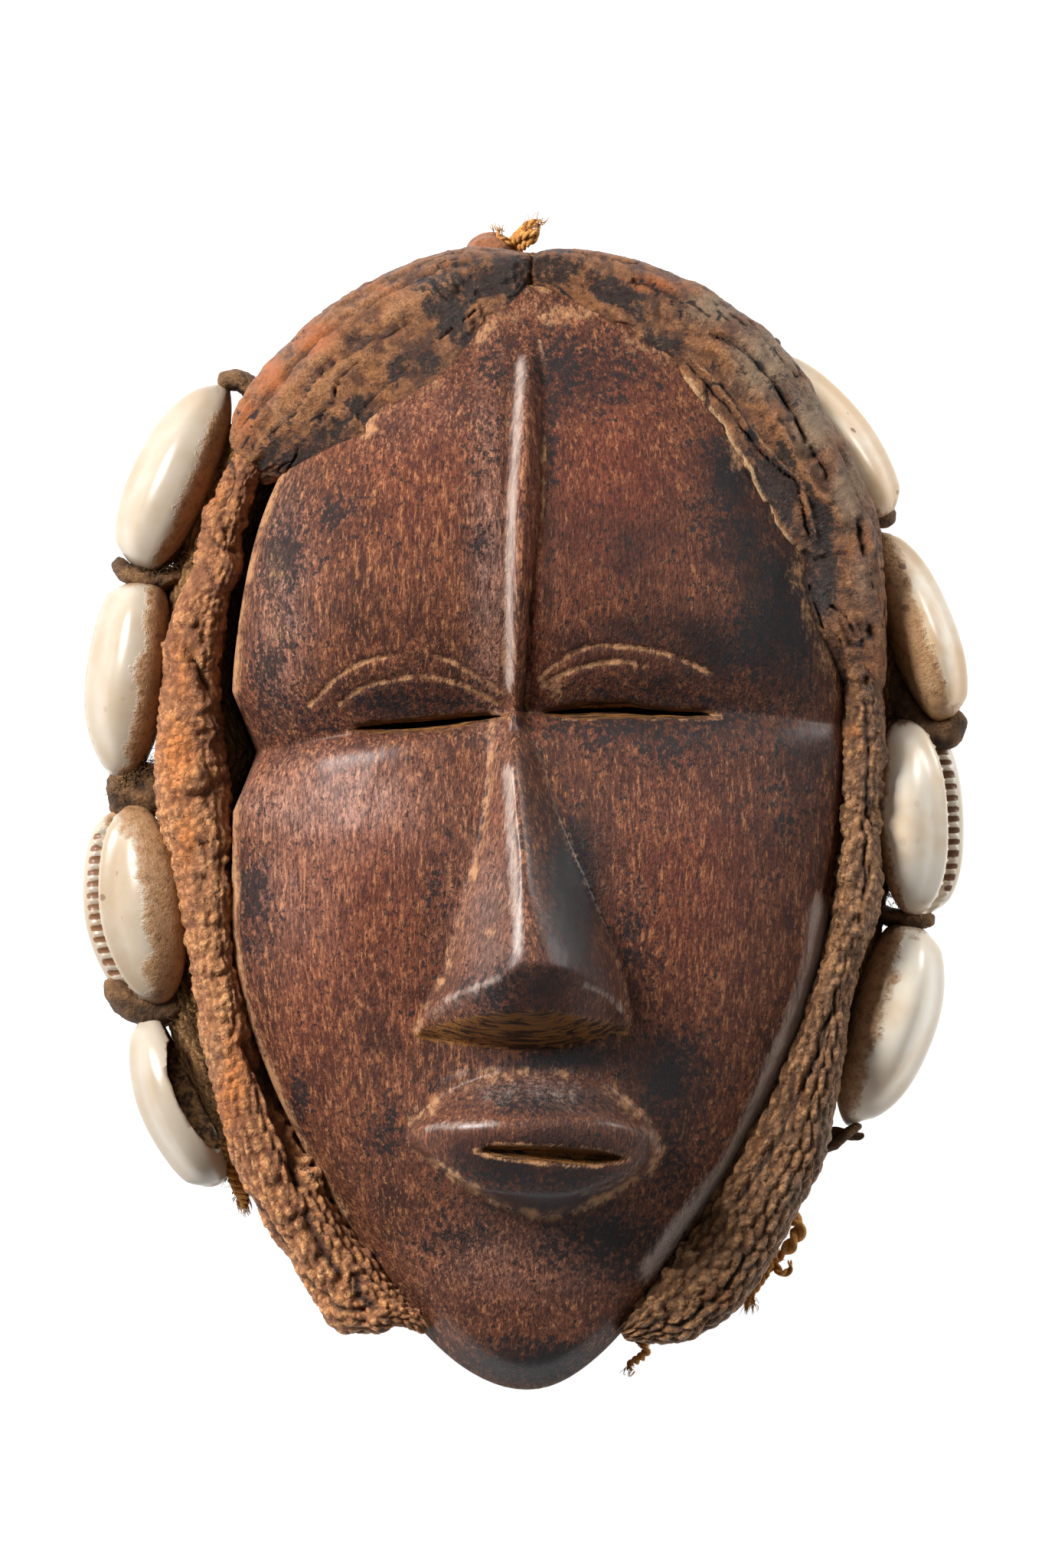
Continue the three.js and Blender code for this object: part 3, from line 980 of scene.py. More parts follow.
@dataclass(frozen=True)
class Carving:
    """The face's relief: its height over the plan, in mm."""

    outline: Outline = Outline()
    rim_z: float = 25.0
    dome_power: tuple[float, float, float] = (2.9, 4.6, 3.3)  # cheeks, left and right forehead
    middle: Line = (
        (-66, 24), (-60, 29), (-50, 33.5), (-34, 36), (-14, 36.4), (-4, 35.9), (4, 34.7),
        (9.2, 34.6), (14, 35.8), (24, 37.4), (38, 37.6), (50, 34), (60, 25),
    )
    eye_line: Line = (
        (-28.1, 5.4), (-24.9, 6), (-21.6, 6.8), (-18.3, 7.4), (-10.8, 8.6), (-3, 9.5),
        (1.4, 9.7), (10, 10.1), (21.2, 9.7), (34, 8.5),
    )
    eye_line_depth: Line = ((-31, 3.4), (-20, 3.1), (-3, 2.6), (10, 2.6), (22, 1.9), (35, 1.0))
    eye_line_spread: tuple[float, float] = (5.2, 1.9)  # towards the forehead and the cheek
    keel_x: Line = ((8.6, -0.7), (20, -0.2), (36, 0.4), (50, 0.8))
    keel_height: Line = ((7.5, 0.0), (10, 1.3), (20, 1.6), (36, 2.0), (46, 1.7), (50.5, 0.0))
    keel_half: Line = ((8, 0.9), (18, 1.0), (36, 1.7), (45, 1.6), (50, 0.8))
    nose_crest_x: Line = ((-22, 0.9), (-17.3, 0.7), (-11, 0.4), (-6.1, 0.2), (-0.2, -0.4),
                          (3.9, -0.7), (9.6, -1))
    nose_crest_z: Line = ((-24, 47.6), (-17.3, 46.3), (-11, 44.2), (-6, 42.2), (0, 39.8),
                          (4, 38.2), (9.6, 34.0))
    nose_left: Line = ((-24.9, -11.2), (-21.8, -10), (-18.5, -8.3), (-12.7, -6.6), (-6.9, -5),
                       (-1.1, -3.8), (3.9, -3.3), (9.6, -3.1))
    nose_right: Line = ((-24.4, 11.8), (-23, 11.6), (-17.7, 10.6), (-12.7, 8.7), (-7.7, 6.6),
                        (-1.9, 4.2), (3.9, 2.5), (9.6, 0.9))
    nose_edge_y: Line = ((-11.2, -24.9), (-6.6, -23.3), (-0.4, -22.4), (4.2, -22.6),
                         (9, -23.7), (11.8, -24.3))
    nose_arch_y: Line = ((-11.2, -24.8), (-8.7, -21.8), (-5.8, -20.5), (-1.7, -18.6), (0.7, -17.3),
                         (4.5, -18), (8.8, -19.8), (11.8, -23.6))
    nose_foot_y: Line = ((-11.2, -25.2), (-5, -26.1), (0.6, -26.5), (6, -26), (11.8, -24.6))
    nose_front_slope: float = 0.6
    nose_foot_step: float = 0.5
    lips_upper: Line = ((-12.2, -36), (-11.2, -34.3), (-8.3, -31.8), (-5, -30.1), (-1.7, -29.3),
                        (5, -29.3), (8.3, -30.1), (11.6, -32.6), (14.1, -35.5), (15, -37.4))
    lips_crest: Line = ((-12.2, -36.1), (-9.9, -35.2), (-1.8, -34.3), (6.4, -34.1),
                        (13.6, -35.6), (15, -37.4))
    lips_fold: Line = ((-12.2, -36.6), (-10.5, -37.5), (-7, -40.6), (-3, -42), (4, -42.3),
                       (9, -41), (13.5, -38.8), (15, -37.6))
    lips_lower: Line = ((-12.2, -36.8), (-10.8, -38), (-8.3, -39.7), (-5, -41.7), (-0.8, -43.8),
                        (2.5, -44.7), (5, -44.2), (8.3, -43), (11.6, -41.3), (14.1, -39.7),
                        (15, -37.7))
    lips_rise: float = 6.3
    mouth: Slit = Slit(
        upper=((-4.9, -37.4), (-3, -36.8), (2, -36.9), (8, -37.3), (11.6, -38.3)),
        lower=((-4.9, -37.5), (-2, -38.2), (3, -38.8), (8, -39.1), (11.6, -38.5)),
        depth=2.6,
    )
    eyes: tuple[Slit, ...] = (
        Slit(upper=((-18.9, 7.8), (-16.2, 8.6), (-12.5, 8.9), (-8.2, 9.3), (-3.9, 9.6),
                    (-0.9, 9.4)),
             lower=((-18.9, 7.7), (-15.6, 7.4), (-11.9, 7.5), (-8.2, 7.8), (-5.1, 8.3),
                    (-0.9, 9.2)),
             depth=1.7),
        Slit(upper=((1.6, 9.7), (3.7, 10.1), (5.9, 10.6), (8.4, 10.8), (11.5, 10.8),
                    (13.3, 10.4), (16.4, 10.1), (19.4, 10), (21.6, 9.3)),
             lower=((1.6, 9.6), (4.7, 9), (7.7, 8.9), (12, 9), (15.1, 9), (18.2, 8.9),
                    (21.6, 9.1)),
             depth=1.7),
    )
    brow_cuts: tuple[Line, ...] = (
        ((-23.2, 10), (-21.1, 12.1), (-19.3, 13.7), (-17.4, 14.8), (-15.3, 15.4),
         (-13.1, 15.7)),
        ((-9.7, 15.8), (-7.6, 15.2), (-5.5, 13.9), (-3.3, 12.6), (-1.9, 11.4)),
        ((-20.2, 10), (-18.3, 11.5), (-16.2, 12.6), (-14.4, 13), (-11.9, 13.4), (-9.5, 13.4),
         (-7, 12.8), (-4.8, 11.9), (-3, 10.8), (-1.6, 10.2)),
        ((1.2, 12.6), (4.2, 15.1), (6.6, 16.4), (8.3, 16.8), (12.5, 16.5), (15.8, 15.9),
         (18.7, 14.7), (21.2, 13.4)),
        ((1.7, 12.2), (5, 13.9), (7.5, 14.7), (10.8, 15.1), (14.1, 14.3)),
    )
    brow_cut_depth: float = 0.45
    brow_cut_half: float = 0.5

    def bevel_width(self, xy: Points) -> Points:
        """How wide the bevel along the front edge is at points.

        Args:
            xy: The points.

        Returns:
            The width at each, in mm.
        """
        right = through(((-62, 2.6), (-50, 2.0), (-20, 1.7), (0, 1.2), (20, 0.9)), xy[:, 1])
        left = through(((-62, 3.4), (-50, 3.2), (-36, 1.8), (-10, 0.8), (30, 0.8)), xy[:, 1])
        return left + (right - left) * smooth_step(-8, 8, xy[:, 0])

    def dome(self, xy: Points, reach: Points) -> Points:
        """The bare rounded front, before anything is carved into it.

        Args:
            xy: The points.
            reach: How far they are from the centre, 1 at the edge.

        Returns:
            Their z.
        """
        rise = through(self.middle, xy[:, 1]) - self.rim_z
        cheeks, left, right = self.dome_power
        forehead = left + (right - left) * smooth_step(-10, 10, xy[:, 0])
        power = cheeks + (forehead - cheeks) * smooth_step(2, 18, xy[:, 1])
        return self.rim_z + rise * (1 - np.clip(reach, 0, 1) ** power)

    def eye_line_at(self, xy: Points) -> Points:
        """The height that the valley along the eye line takes away.

        Args:
            xy: The points.

        Returns:
            The depth at each, in mm.
        """
        step = xy[:, 1] - through(self.eye_line, xy[:, 0])
        depth = through(self.eye_line_depth, xy[:, 0])
        to_forehead, to_cheek = self.eye_line_spread
        spread = np.where(step > 0, to_forehead, to_cheek)
        return depth * np.exp(-np.sqrt((step / spread) ** 2 + 0.01) + 0.1)

    def keel_at(self, xy: Points) -> Points:
        """The keel's height over the forehead, with the shallow gouge along its feet.

        Args:
            xy: The points.

        Returns:
            The height at each, in mm.
        """
        x, y = xy.T
        half = through(self.keel_half, y)
        height = through(self.keel_height, y)
        off = np.abs(x - through(self.keel_x, y)) / half
        bar = np.clip(1.04 - np.sqrt(off**2 + 0.0016) ** 1.2, 0, 1)
        gouge = 0.14 * np.exp(-(((off - 1.15) / 0.3) ** 2))
        return height * (bar - gouge) * (height > 0)

    def nose_over(self, xy: Points, ground: Points) -> tuple[Points, Points]:
        """The nose.

        Args:
            xy: The points.
            ground: The face's height there without the nose.

        Returns:
            The height with the nose, and 1 where a point is under its lower edge.
        """
        x, y = xy.T
        edge_y = through(self.nose_edge_y, x)
        arch_y = np.maximum(through(self.nose_arch_y, x), edge_y + 0.2)
        above = np.maximum(y, arch_y)
        crest_x = through(self.nose_crest_x, above)
        crest_z = through(self.nose_crest_z, above)
        to_left = crest_x - through(self.nose_left, above)
        to_right = through(self.nose_right, above) - crest_x
        across = np.where(x < crest_x, (crest_x - x) / to_left, (x - crest_x) / to_right)
        fuller = 1.05 + 0.6 * smooth_step(-6, -20, above)
        soft = np.sqrt(across**2 + 0.003) - math.sqrt(0.003)
        step = self.nose_foot_step * smooth_step(1.0, 0.9, across) * (x < crest_x)
        flank = ground + step + (crest_z - ground - step) * (1 - soft**fuller)
        front = flank - self.nose_front_slope * (above - np.maximum(y, edge_y))
        foot_y = through(self.nose_foot_y, x)
        under = np.clip((edge_y - y) / np.maximum(edge_y - foot_y, 0.2), 0, 1)
        below = ground + (front - ground) * (1 - under) ** 0.85
        wide = (x > self.nose_edge_y[0][0]) & (x < self.nose_edge_y[-1][0])
        inside = (across < 1) & (y < 9.6) & (under < 1) & (wide | (y > edge_y))
        height = np.where(inside, np.maximum(ground, below), ground)
        return height, np.where(wide & (y < edge_y) & (y > foot_y - 0.3), 1.0, 0.0)

    def lips_over(self, xy: Points, ground: Points) -> Points:
        """The face's height with the lips and the mouth's cut.

        Args:
            xy: The points.
            ground: The face's height there without the lips.

        Returns:
            The height at each, in mm.
        """
        x, y = xy.T
        top = through(self.lips_upper, x)
        crest = through(self.lips_crest, x)
        fold = through(self.lips_fold, x)
        foot = through(self.lips_lower, x)
        left, right = self.lips_upper[0][0], self.lips_upper[-1][0]
        side = np.abs((2 * x - left - right) / (right - left))
        inside = (side < 1) & (y < top) & (y > foot)
        rise = self.lips_rise * (1 - np.clip(side, 0, 1) ** 5) ** 0.5
        upper = np.clip((top - y) / np.maximum(top - crest, 0.05), 0, 1)
        lower = np.clip((y - foot) / np.maximum(fold - foot, 0.05), 0, 1)
        facet = np.minimum(upper**0.9, lower**0.75)
        rounding = 0.2 * np.exp(-np.minimum(np.abs(y - crest), np.abs(y - fold)) / 0.35)
        bulge = 0.5 * np.clip((crest - y) * (y - fold) / 16, 0, 1)
        height = ground + rise * facet + np.where(inside, bulge - rounding, 0)
        height = np.where(inside, height, ground)
        cut = smooth_step(-0.05, 0.8, self.mouth.inside(xy))
        return height - self.mouth.depth * cut

    def cuts(self, xy: Points) -> Points:
        """The depth of the eye slits' grooves and of the cut brow lines.

        Args:
            xy: The points.

        Returns:
            The depth at each, in mm.
        """
        depth = np.zeros(len(xy))
        for eye in self.eyes:
            depth = np.maximum(depth, eye.depth * np.clip(eye.inside(xy) / 0.55 + 0.1, 0, 1))
        for k, cut in enumerate(self.brow_cuts):
            gap, where = nearest(xy, curve(cut, 40))
            uneven = 0.65 + 0.5 * lattice_noise(at_height(xy), 2.2, 60 + k)
            line = np.clip(1 - gap / self.brow_cut_half, 0, 1)
            line *= inner_part(where, 0.06) * np.clip(uneven, 0.15, 1)
            depth = depth + self.brow_cut_depth * line
        return depth

    def height(self, xy: Points, reach: Points, edge: Points) -> Points:
        """The front's height.

        Args:
            xy: The points.
            reach: How far they are from the centre, 1 at the edge.
            edge: How far they are from the edge, in mm.

        Returns:
            Their z.
        """
        ground = self.dome(xy, reach) - self.eye_line_at(xy)
        x, y = xy.T
        muzzle = np.exp(-(((x - 1.4) / 14) ** 2) - (((y + 36) / 8.5) ** 2))
        hollow_cheek = np.exp(-(((np.abs(x - 1) - 11) / 6) ** 2) - (((y + 24) / 10) ** 2))
        ground = ground + 1.3 * muzzle - 0.5 * hollow_cheek
        bevel = self.bevel_width(xy)
        soften = 0.35
        over_edge = soften * np.logaddexp(0, (bevel - edge) / soften)
        ground = ground - 1.05 * over_edge
        ground = ground + 0.16 * layered_noise(at_height(xy), 9, 5)
        with_nose, _ = self.nose_over(xy, ground)
        shaped = self.lips_over(xy, with_nose) + self.keel_at(xy) - self.cuts(xy)
        tool_marks = 0.05 * layered_noise(at_height(xy) * (1.0, 0.55, 1.0), 1.6, 9)
        grain = 0.03 * lattice_noise(at_height(xy) * (1.0, 0.28, 1.0), 0.42, 11)
        return shaped + tool_marks + grain


@dataclass(frozen=True)
class Patch:
    """A soft round patch on the face: where it is, its size and how strong it is."""

    x: float
    y: float
    wide: float
    high: float
    strength: float = 1.0

    def over(self, xy: Points) -> Points:
        """Its strength at points."""
        far = ((xy[:, 0] - self.x) / self.wide) ** 2 + ((xy[:, 1] - self.y) / self.high) ** 2
        return self.strength * np.exp(-far)


@dataclass(frozen=True)
class Crease:
    """A line over the front that stands out, or a cracked groove where its height is less than 0."""

    points: Line
    wide: float
    high: float
    dusty: float = 0.0

    def near(self, xy: Points) -> Points:
        """1 on the line, fading to 0 beside it and at its ends."""
        gap, where = nearest(xy, curve(self.points, 40))
        return faded(gap, self.wide) * inner_part(where, 0.08)


def rows_of(*rows: tuple[float, ...]) -> tuple[Patch, ...]:
    """Patches given as rows of x, y, wide, high and strength."""
    return tuple(Patch(*row) for row in rows)


def patched(several: Iterable[Patch], xy: Points) -> Points:
    """The strongest of several patches at points."""
    return np.max([patch.over(xy) for patch in several], axis=0)


@dataclass
class WoodenFace:
    """The carved face, hollow behind, with its two pierced eyes."""

    carving: Carving = Carving()
    across: int = 200
    lengthways: int = 380
    wall_levels: tuple[float, ...] = (20.0, 12.0, 5.0, 0.5, 0.0)
    wall_thickness: float = 5.5
    front_thickness: float = 7.0
    foot_inset: float = 0.4
    pierced_half: float = 0.32
    pierced_short: float = 1.2
    hollow_faces: tuple[int, int] = (64, 110)
    gouge_cuts: int = 260
    gouge_size: float = 3.4
    gouge_depth: float = 1.1
    black: tuple[Patch, ...] = rows_of(
        (-25.5, 26, 3.4, 9, 1.0), (-27.5, 13, 2.6, 7, 0.7), (-20, 31, 4, 4, 0.6),
        (5, 47, 11, 4.5, 0.85), (-4, 27.5, 2.4, 3, 0.8), (-3, 40, 3, 6, 0.45), (23, 34, 4, 10, 0.9),
        (29, 22, 4.5, 12, 1.0), (25, 15, 9, 5, 0.75), (16, 8.4, 14, 5, 0.8), (-12, 10.5, 10, 3.4, 0.8),
        (-25, 9, 7, 3, 0.7), (3.4, 42, 1.2, 7, 0.9), (29, 2, 5, 10, 0.5), (17, -29, 5, 4.5, 0.9),
        (16, -37, 4, 7, 0.8), (10, -48, 8, 4, 0.9), (-14, -36, 3, 3.5, 0.8), (-6, -47, 5, 2.6, 0.75),
        (2, -61, 9, 2.6, 1.0), (-29, -11, 2.2, 8, 0.9), (-24, -34, 1.6, 7, 0.7),
        (12, -15, 2.6, 9, 0.55), (-9, -12, 1.8, 8, 0.5), (20, -49, 3, 5, 0.5), (-1, -21, 7, 4, 0.6),
        (5, -8, 3, 9, 0.75), (2, -31.5, 8, 2.2, 0.75), (3, -43, 7, 1.6, 0.9), (-7, -30, 4, 2, 0.5),
        (5, -27.9, 7, 1.3, 1.0), (2, -40.4, 10, 2, 0.8)
    )
    # Dark patches, partly darkened with age and partly painted shade: the painted shadow under the nose,
    # and shade over the right of the brow and on the nose's right side.
    gloom: tuple[Patch, ...] = rows_of(
        (24, 33, 5, 11, 1.2), (28, 20, 6, 10, 1.3), (18, 17, 14, 6, 1.0), (12, 27, 10, 9, 0.75),
        (-10, -13, 3.4, 10, 0.4), (31, 8, 5, 6, 0.8), (6, 45, 9, 5, 0.6), (16, 9, 16, 3.4, 0.8),
        (-14, 10.6, 12, 3, 0.6), (6, -12, 3.8, 11, 1.3), (-3.6, -14, 3, 8, 0.7), (0, -20, 9, 3.6, 1.0),
        (2, -32, 10, 3, 1.0), (1.6, -38, 14, 4.6, 1.2), (3, -42.8, 10, 2.4, 1.2), (14, -30, 6, 6, 0.9),
        (0, -61, 10, 3.4, 0.9), (9, -46, 9, 3, 0.7), (10, -49, 8, 4, 0.6), (4.4, -28, 9, 1.9, 1.3),
        (3, 30, 1.4, 18, 0.7), (29, 0, 5, 12, 0.4), (-4, 26, 2.4, 5, 0.5)
    )
    # Painted highlights: lines of light along the nose's crest and lower front, the keel, the lips, the
    # upper lip and the right bevel.
    sheen: tuple[Crease, ...] = (
        Crease(((-1.4, 5), (-1.1, -2), (-0.6, -9), (-0.1, -17.6)), 0.85, 0.8),
        Crease(((0.3, 50), (-0.3, 42), (-0.9, 32), (-1.2, 22), (-1.3, 10)), 0.75, 0.85),
        Crease(((-8.6, -21.6), (-5.6, -20.2), (-1.6, -18.6)), 0.55, 0.62),
        Crease(((6.4, -19.4), (9.2, -20.8), (11.2, -22.9)), 0.5, 0.62),
        Crease(((-10.6, -23.4), (-8, -22), (-3, -19.4)), 1.2, 0.4),
        Crease(((-10.8, -35.4), (-8.4, -34.8), (-1.8, -34.5)), 0.5, 0.65),
        Crease(((12.6, -34.9), (14.2, -36), (14.8, -38)), 0.45, 0.6),
        Crease(((6, -42.4), (9.4, -41.4), (13, -39.4)), 0.45, 0.5),
        Crease(((-5, -31.8), (1, -31), (7, -31.6)), 2.2, 0.36),
        Crease(((32.4, -8), (31.6, -17.7), (27.1, -29.6), (22.6, -39.1), (16.9, -46.3),
                (12, -53.6)), 1.3, 1.0),
        Crease(((-9.4, -30.6), (-6, -29.2), (-1, -28.6)), 0.6, 0.4),
    )
    # A broad painted sheen where the light falls: on the upper left cheek, the left edge of the brow, the
    # keel, the nose's left side, the upper lip and the chin.
    glow: tuple[Patch, ...] = rows_of(
        (-21, 0, 10, 4.5, 0.75), (-25, -10, 5, 8, 0.3), (0, -50, 10, 4, 0.3), (-26, 22, 3.4, 12, 0.5),
        (-3.4, 24, 2, 20, 0.55), (-4, -12, 3.4, 9, 0.4), (0, -31, 8, 2, 0.3), (-12, 42, 8, 4, 0.15)
    )
    tan: tuple[Patch, ...] = rows_of(
        (4.6, 52.8, 5, 1.7, 0.95), (-3.3, -14, 1.2, 0.8, 0.9), (-12, -54, 3, 2, 0.5),
        (-22, -42, 1.6, 7, 0.5), (13, -54, 2, 3, 0.5), (-26.5, 22, 2.4, 10, 0.5), (-27, 8, 3, 3, 0.6),
        (-13, -56, 2, 3, 0.5), (4, 12, 2, 2, 0.6), (13, -28, 3, 5, 0.35), (2, 20, 1.2, 9, 0.5)
    )
    warm: tuple[Patch, ...] = rows_of(
        (10, 34, 8, 12, 1.0), (-10, 34, 7, 10, 0.55), (-17, -8, 8, 14, 0.7), (19, -10, 8, 13, 0.9),
        (3, -38, 11, 3.6, 0.3), (1, -21.5, 7, 1.8, 0.9), (1.6, 26, 1.2, 16, 1.0), (0, -52, 8, 4, 0.4),
        (-22, -20, 5, 12, 0.6)
    )
    scratches: tuple[Line, ...] = (
        ((14.9, 25.5), (18, 27.6), (22, 30)), ((-8.7, 31.3), (-6, 34.6), (-3.3, 37.1)),
    )

    def block(self) -> bmesh.types.BMesh:
        """The solid block with its carved front and its straight wall.

        Returns:
            The bmesh, in metres.
        """
        bm, disc = disc_grid(self.across, self.lengthways)
        outline = self.carving.outline
        xy = outline.from_disc(disc)
        reach = np.linalg.norm(disc, axis=1)
        z = self.carving.height(xy, reach, outline.from_edge(xy))
        xy[:, 0] += outline.notch(xy) * reach**10
        move_points(bm, np.column_stack([xy, z]))
        rim = [e for e in bm.edges if e.is_boundary]
        centre = np.array(outline.centre) * MM
        for level in self.wall_levels:
            rim, verts = raised_rim(bm, rim)
            for vert in verts:
                at = np.array(vert.co[:2])
                part = level / self.carving.rim_z
                at[0] -= outline.notch(at[None] / MM)[0] * MM * 0.35 * (1 - part)
                if level == 0.0:
                    out = (at - centre) / np.linalg.norm(at - centre)
                    at = at - out * self.foot_inset * MM
                vert.co = (at[0], at[1], level * MM)
        bmesh.ops.edgeloop_fill(bm, edges=rim)
        bmesh.ops.recalc_face_normals(bm, faces=bm.faces)
        return bm

    def hollow(self) -> bmesh.types.BMesh:
        """The solid that the hollow behind takes away, with the marks of the gouge.

        Returns:
            The bmesh, in metres.
        """
        bm, disc = disc_grid(*self.hollow_faces)
        outline = self.carving.outline
        xy = outline.from_disc(disc, inset=self.wall_thickness)
        reach = np.linalg.norm(disc, axis=1)
        base = self.carving.dome(xy, reach * 0.94) - self.front_thickness
        rng = np.random.default_rng(4)
        cuts = outline.from_disc(rng.uniform(-1, 1, (self.gouge_cuts, 2)), inset=2)
        far = np.min(np.linalg.norm((xy[:, None] - cuts[None]) / (1.0, 1.7), axis=2), axis=1)
        scoop = np.clip(1 - (far / self.gouge_size) ** 2, 0, 1) * (1 - reach**4)
        base = base - self.gouge_depth * scoop
        z = 2.0 + (base - 2.0) * (1 - reach**5) ** 0.5
        move_points(bm, np.column_stack([xy, z]))
        rim, verts = raised_rim(bm, [e for e in bm.edges if e.is_boundary])
        for vert in verts:
            vert.co.z = -2 * MM
        bmesh.ops.edgeloop_fill(bm, edges=rim)
        bmesh.ops.recalc_face_normals(bm, faces=bm.faces)
        return bm

    def piercing(self, eye: Slit) -> bmesh.types.BMesh:
        """The thin lens that pierces one eye's groove through to the hollow.

        Args:
            eye: The eye's cut.

        Returns:
            The bmesh, in metres.
        """
        start = eye.upper[0][0] + self.pierced_short
        end = eye.upper[-1][0] - self.pierced_short
        x = np.linspace(start, end, 26)
        middle = (through(eye.upper, x) + through(eye.lower, x)) / 2
        uneven = 1 + 0.3 * lattice_noise(np.column_stack([x, middle, x * 0]), 2.0, 71)
        half = self.pierced_half * np.sqrt(np.sin(np.pi * (x - start) / (end - start))) * uneven
        bm = bmesh.new()
        bmesh.ops.create_grid(bm, x_segments=25, y_segments=1, size=1.0)
        for vert in bm.verts:
            at = (vert.co.x + 1) / 2 * (len(x) - 1)
            side = 1 if vert.co.y > 0 else -1
            k = int(round(at))
            vert.co = (x[k] * MM, (middle[k] + side * max(half[k], 0.02)) * MM, 10 * MM)
        made = bmesh.ops.extrude_face_region(bm, geom=bm.faces[:])["geom"]
        for vert in (g for g in made if isinstance(g, bmesh.types.BMVert)):
            vert.co.z = 40 * MM
        bmesh.ops.recalc_face_normals(bm, faces=bm.faces)
        return bm

    def build(self) -> bpy.types.Object:
        """Makes the face.

        Returns:
            The finished object.
        """
        face = finished(self.block(), "carved_face")
        cutters = [finished(self.hollow(), "cut_hollow")]
        cutters += [finished(self.piercing(eye), f"cut_eye_{k}")
                    for k, eye in enumerate(self.carving.eyes)]
        cut_away(face, cutters)
        self.mark(face)
        return face

    def mark(self, face: bpy.types.Object) -> None:
        """Stores where the dust, the black specks of age, the wear, the warm tone, the raw end grain and
        the hollow behind lie, and where the painted highlights, the broad painted sheen and the painted
        shade go.

        Args:
            face: The face.
        """
        points = read_points(face.data)
        xy, z = points[:, :2], points[:, 2]
        carving, outline = self.carving, self.carving.outline
        edge = outline.from_edge(xy)
        inner = (outline.reach(xy) < 1) & (edge > self.wall_thickness - 1.5)
        behind = inner & (z < carving.dome(xy, outline.reach(xy)) - 4.2)
        behind |= z < 0.2
        wall = (z < carving.rim_z - 3.5) & ~behind
        front = ~(behind | wall)
        mottle = layered_noise(at_height(xy), 3.2, 20)
        fine = layered_noise(at_height(xy), 0.9, 24)
        dust = self.dust(xy, edge, mottle, fine) * front
        _, under = carving.nose_over(xy, carving.dome(xy, outline.reach(xy)))
        for cut in (*carving.eyes, carving.mouth):
            under = np.maximum(under, smooth_step(0.0, 0.2, cut.inside(xy)))
        black = patched(self.black, xy) * (0.85 + 0.45 * mottle) * front
        warm = patched(self.warm, xy) * front
        # Dark patches: partly darkened with age, partly painted shade.
        gloom = patched(self.gloom, xy) * (0.8 + 0.4 * mottle) * front
        matte = smooth_step(8, 15, xy[:, 1]) * front
        worn = self.worn(xy, mottle) * front
        # Painted highlights along lines, and a broad painted sheen.
        sheen = np.max([line.high * line.near(xy) for line in self.sheen], axis=0) * front
        glow = patched(self.glow, xy) * (0.8 + 0.4 * mottle) * front
        keep_values(face, dust=dust, sheen=sheen, black=black, warm=warm, worn=worn, glow=glow,
                    gloom=gloom, matte=matte, under=under * front, behind=behind.astype(float))

    def dust(self, xy: Points, edge: Points, mottle: Points, fine: Points) -> Points:
        """How much pale dust lies in the crevices.

        Args:
            xy: The points.
            edge: How far they are from the edge, in mm.
            mottle: Broad noise at the points.
            fine: Fine noise at the points.

        Returns:
            The amount at each point, 0 where there is none.
        """
        carving = self.carving
        x, y = xy.T
        found = [np.zeros(len(xy)), patched(self.tan, xy) * (0.75 + 0.5 * mottle)]
        for side, low, high, wide, strength, least in (
            (carving.nose_left, -24.9, 8.6, 0.7, 0.85, 0.62),
            (carving.nose_right, -24.2, 4, 0.9, 0.55, 0.7),
        ):
            t = np.linspace(low, high, 60)
            gap, _ = nearest(xy, np.column_stack([through(side, t), t]))
            found.append(strength * faded(gap, wide) * (least + 0.8 * fine))
        for line, count, wide, strength in (
            (carving.lips_upper, 60, 1.3, 0.85 * (0.6 + 0.7 * fine + 0.35 * mottle)),
            (carving.lips_lower, 60, 1.0, 0.6 + 0.7 * fine + 0.35 * mottle),
            (HAIRLINE_LEFT, 60, 1.5, 0.58 * (0.7 + 0.9 * mottle)),
            (HAIRLINE_RIGHT, 60, 1.9, 0.58 * (0.7 + 0.9 * mottle)),
            *((scratch, 20, 0.14, 0.5) for scratch in self.scratches),
        ):
            gap, _ = nearest(xy, curve(line, count))
            found.append(strength * faded(gap, wide))
        for cut in carving.brow_cuts:
            gap, where = nearest(xy, curve(cut, 40))
            found.append(faded(gap, 0.42) * inner_part(where, 0.05) * (0.75 + 0.6 * fine))
        for slit, strength in ((carving.mouth, 0.9), *((eye, 0.6) for eye in carving.eyes)):
            found.append(faded(slit.inside(xy) + 0.1, 0.3) * strength * (0.8 + 0.7 * fine))
        foot = np.abs(x - through(carving.keel_x, y)) - through(carving.keel_half, y) - 0.4
        keel = faded(foot, 0.45) * (y > 9) * (y < 50) * np.where(x < 0, 0.85, 0.7)
        found.append(keel * (0.55 + 0.9 * mottle))
        rim = faded(edge, 1.1) * (x < 10) * (0.85 + 0.5 * mottle)
        found.append(rim * np.where(y > -45, 0.9, 0.5))
        found.append(faded(edge, 1.6) * (x > 5) * (y < -10) * 0.45 * (0.7 + 0.6 * fine))
        return np.max(found, axis=0)

    def worn(self, xy: Points, mottle: Points) -> Points:
        """How much hands have polished the wood at points: the crests and the high places.

        Args:
            xy: The points.
            mottle: Broad noise at the points.

        Returns:
            The amount at each.
        """
        carving = self.carving
        x, y = xy.T
        t = np.linspace(-17.3, 8, 40)
        crest, _ = nearest(xy, np.column_stack([through(carving.nose_crest_x, t), t]))
        keel = faded(x - through(carving.keel_x, y), 0.8) * (y > 9) * (y < 49)
        lips, _ = nearest(xy, curve(carving.lips_crest, 50))
        cheek = faded(y - through(carving.eye_line, x) + 2.2, 1.3) * (x < -4)
        return np.max([faded(crest, 0.8), keel, 0.8 * faded(lips, 0.7),
                       0.7 * cheek * (0.8 + 0.4 * mottle)], axis=0)


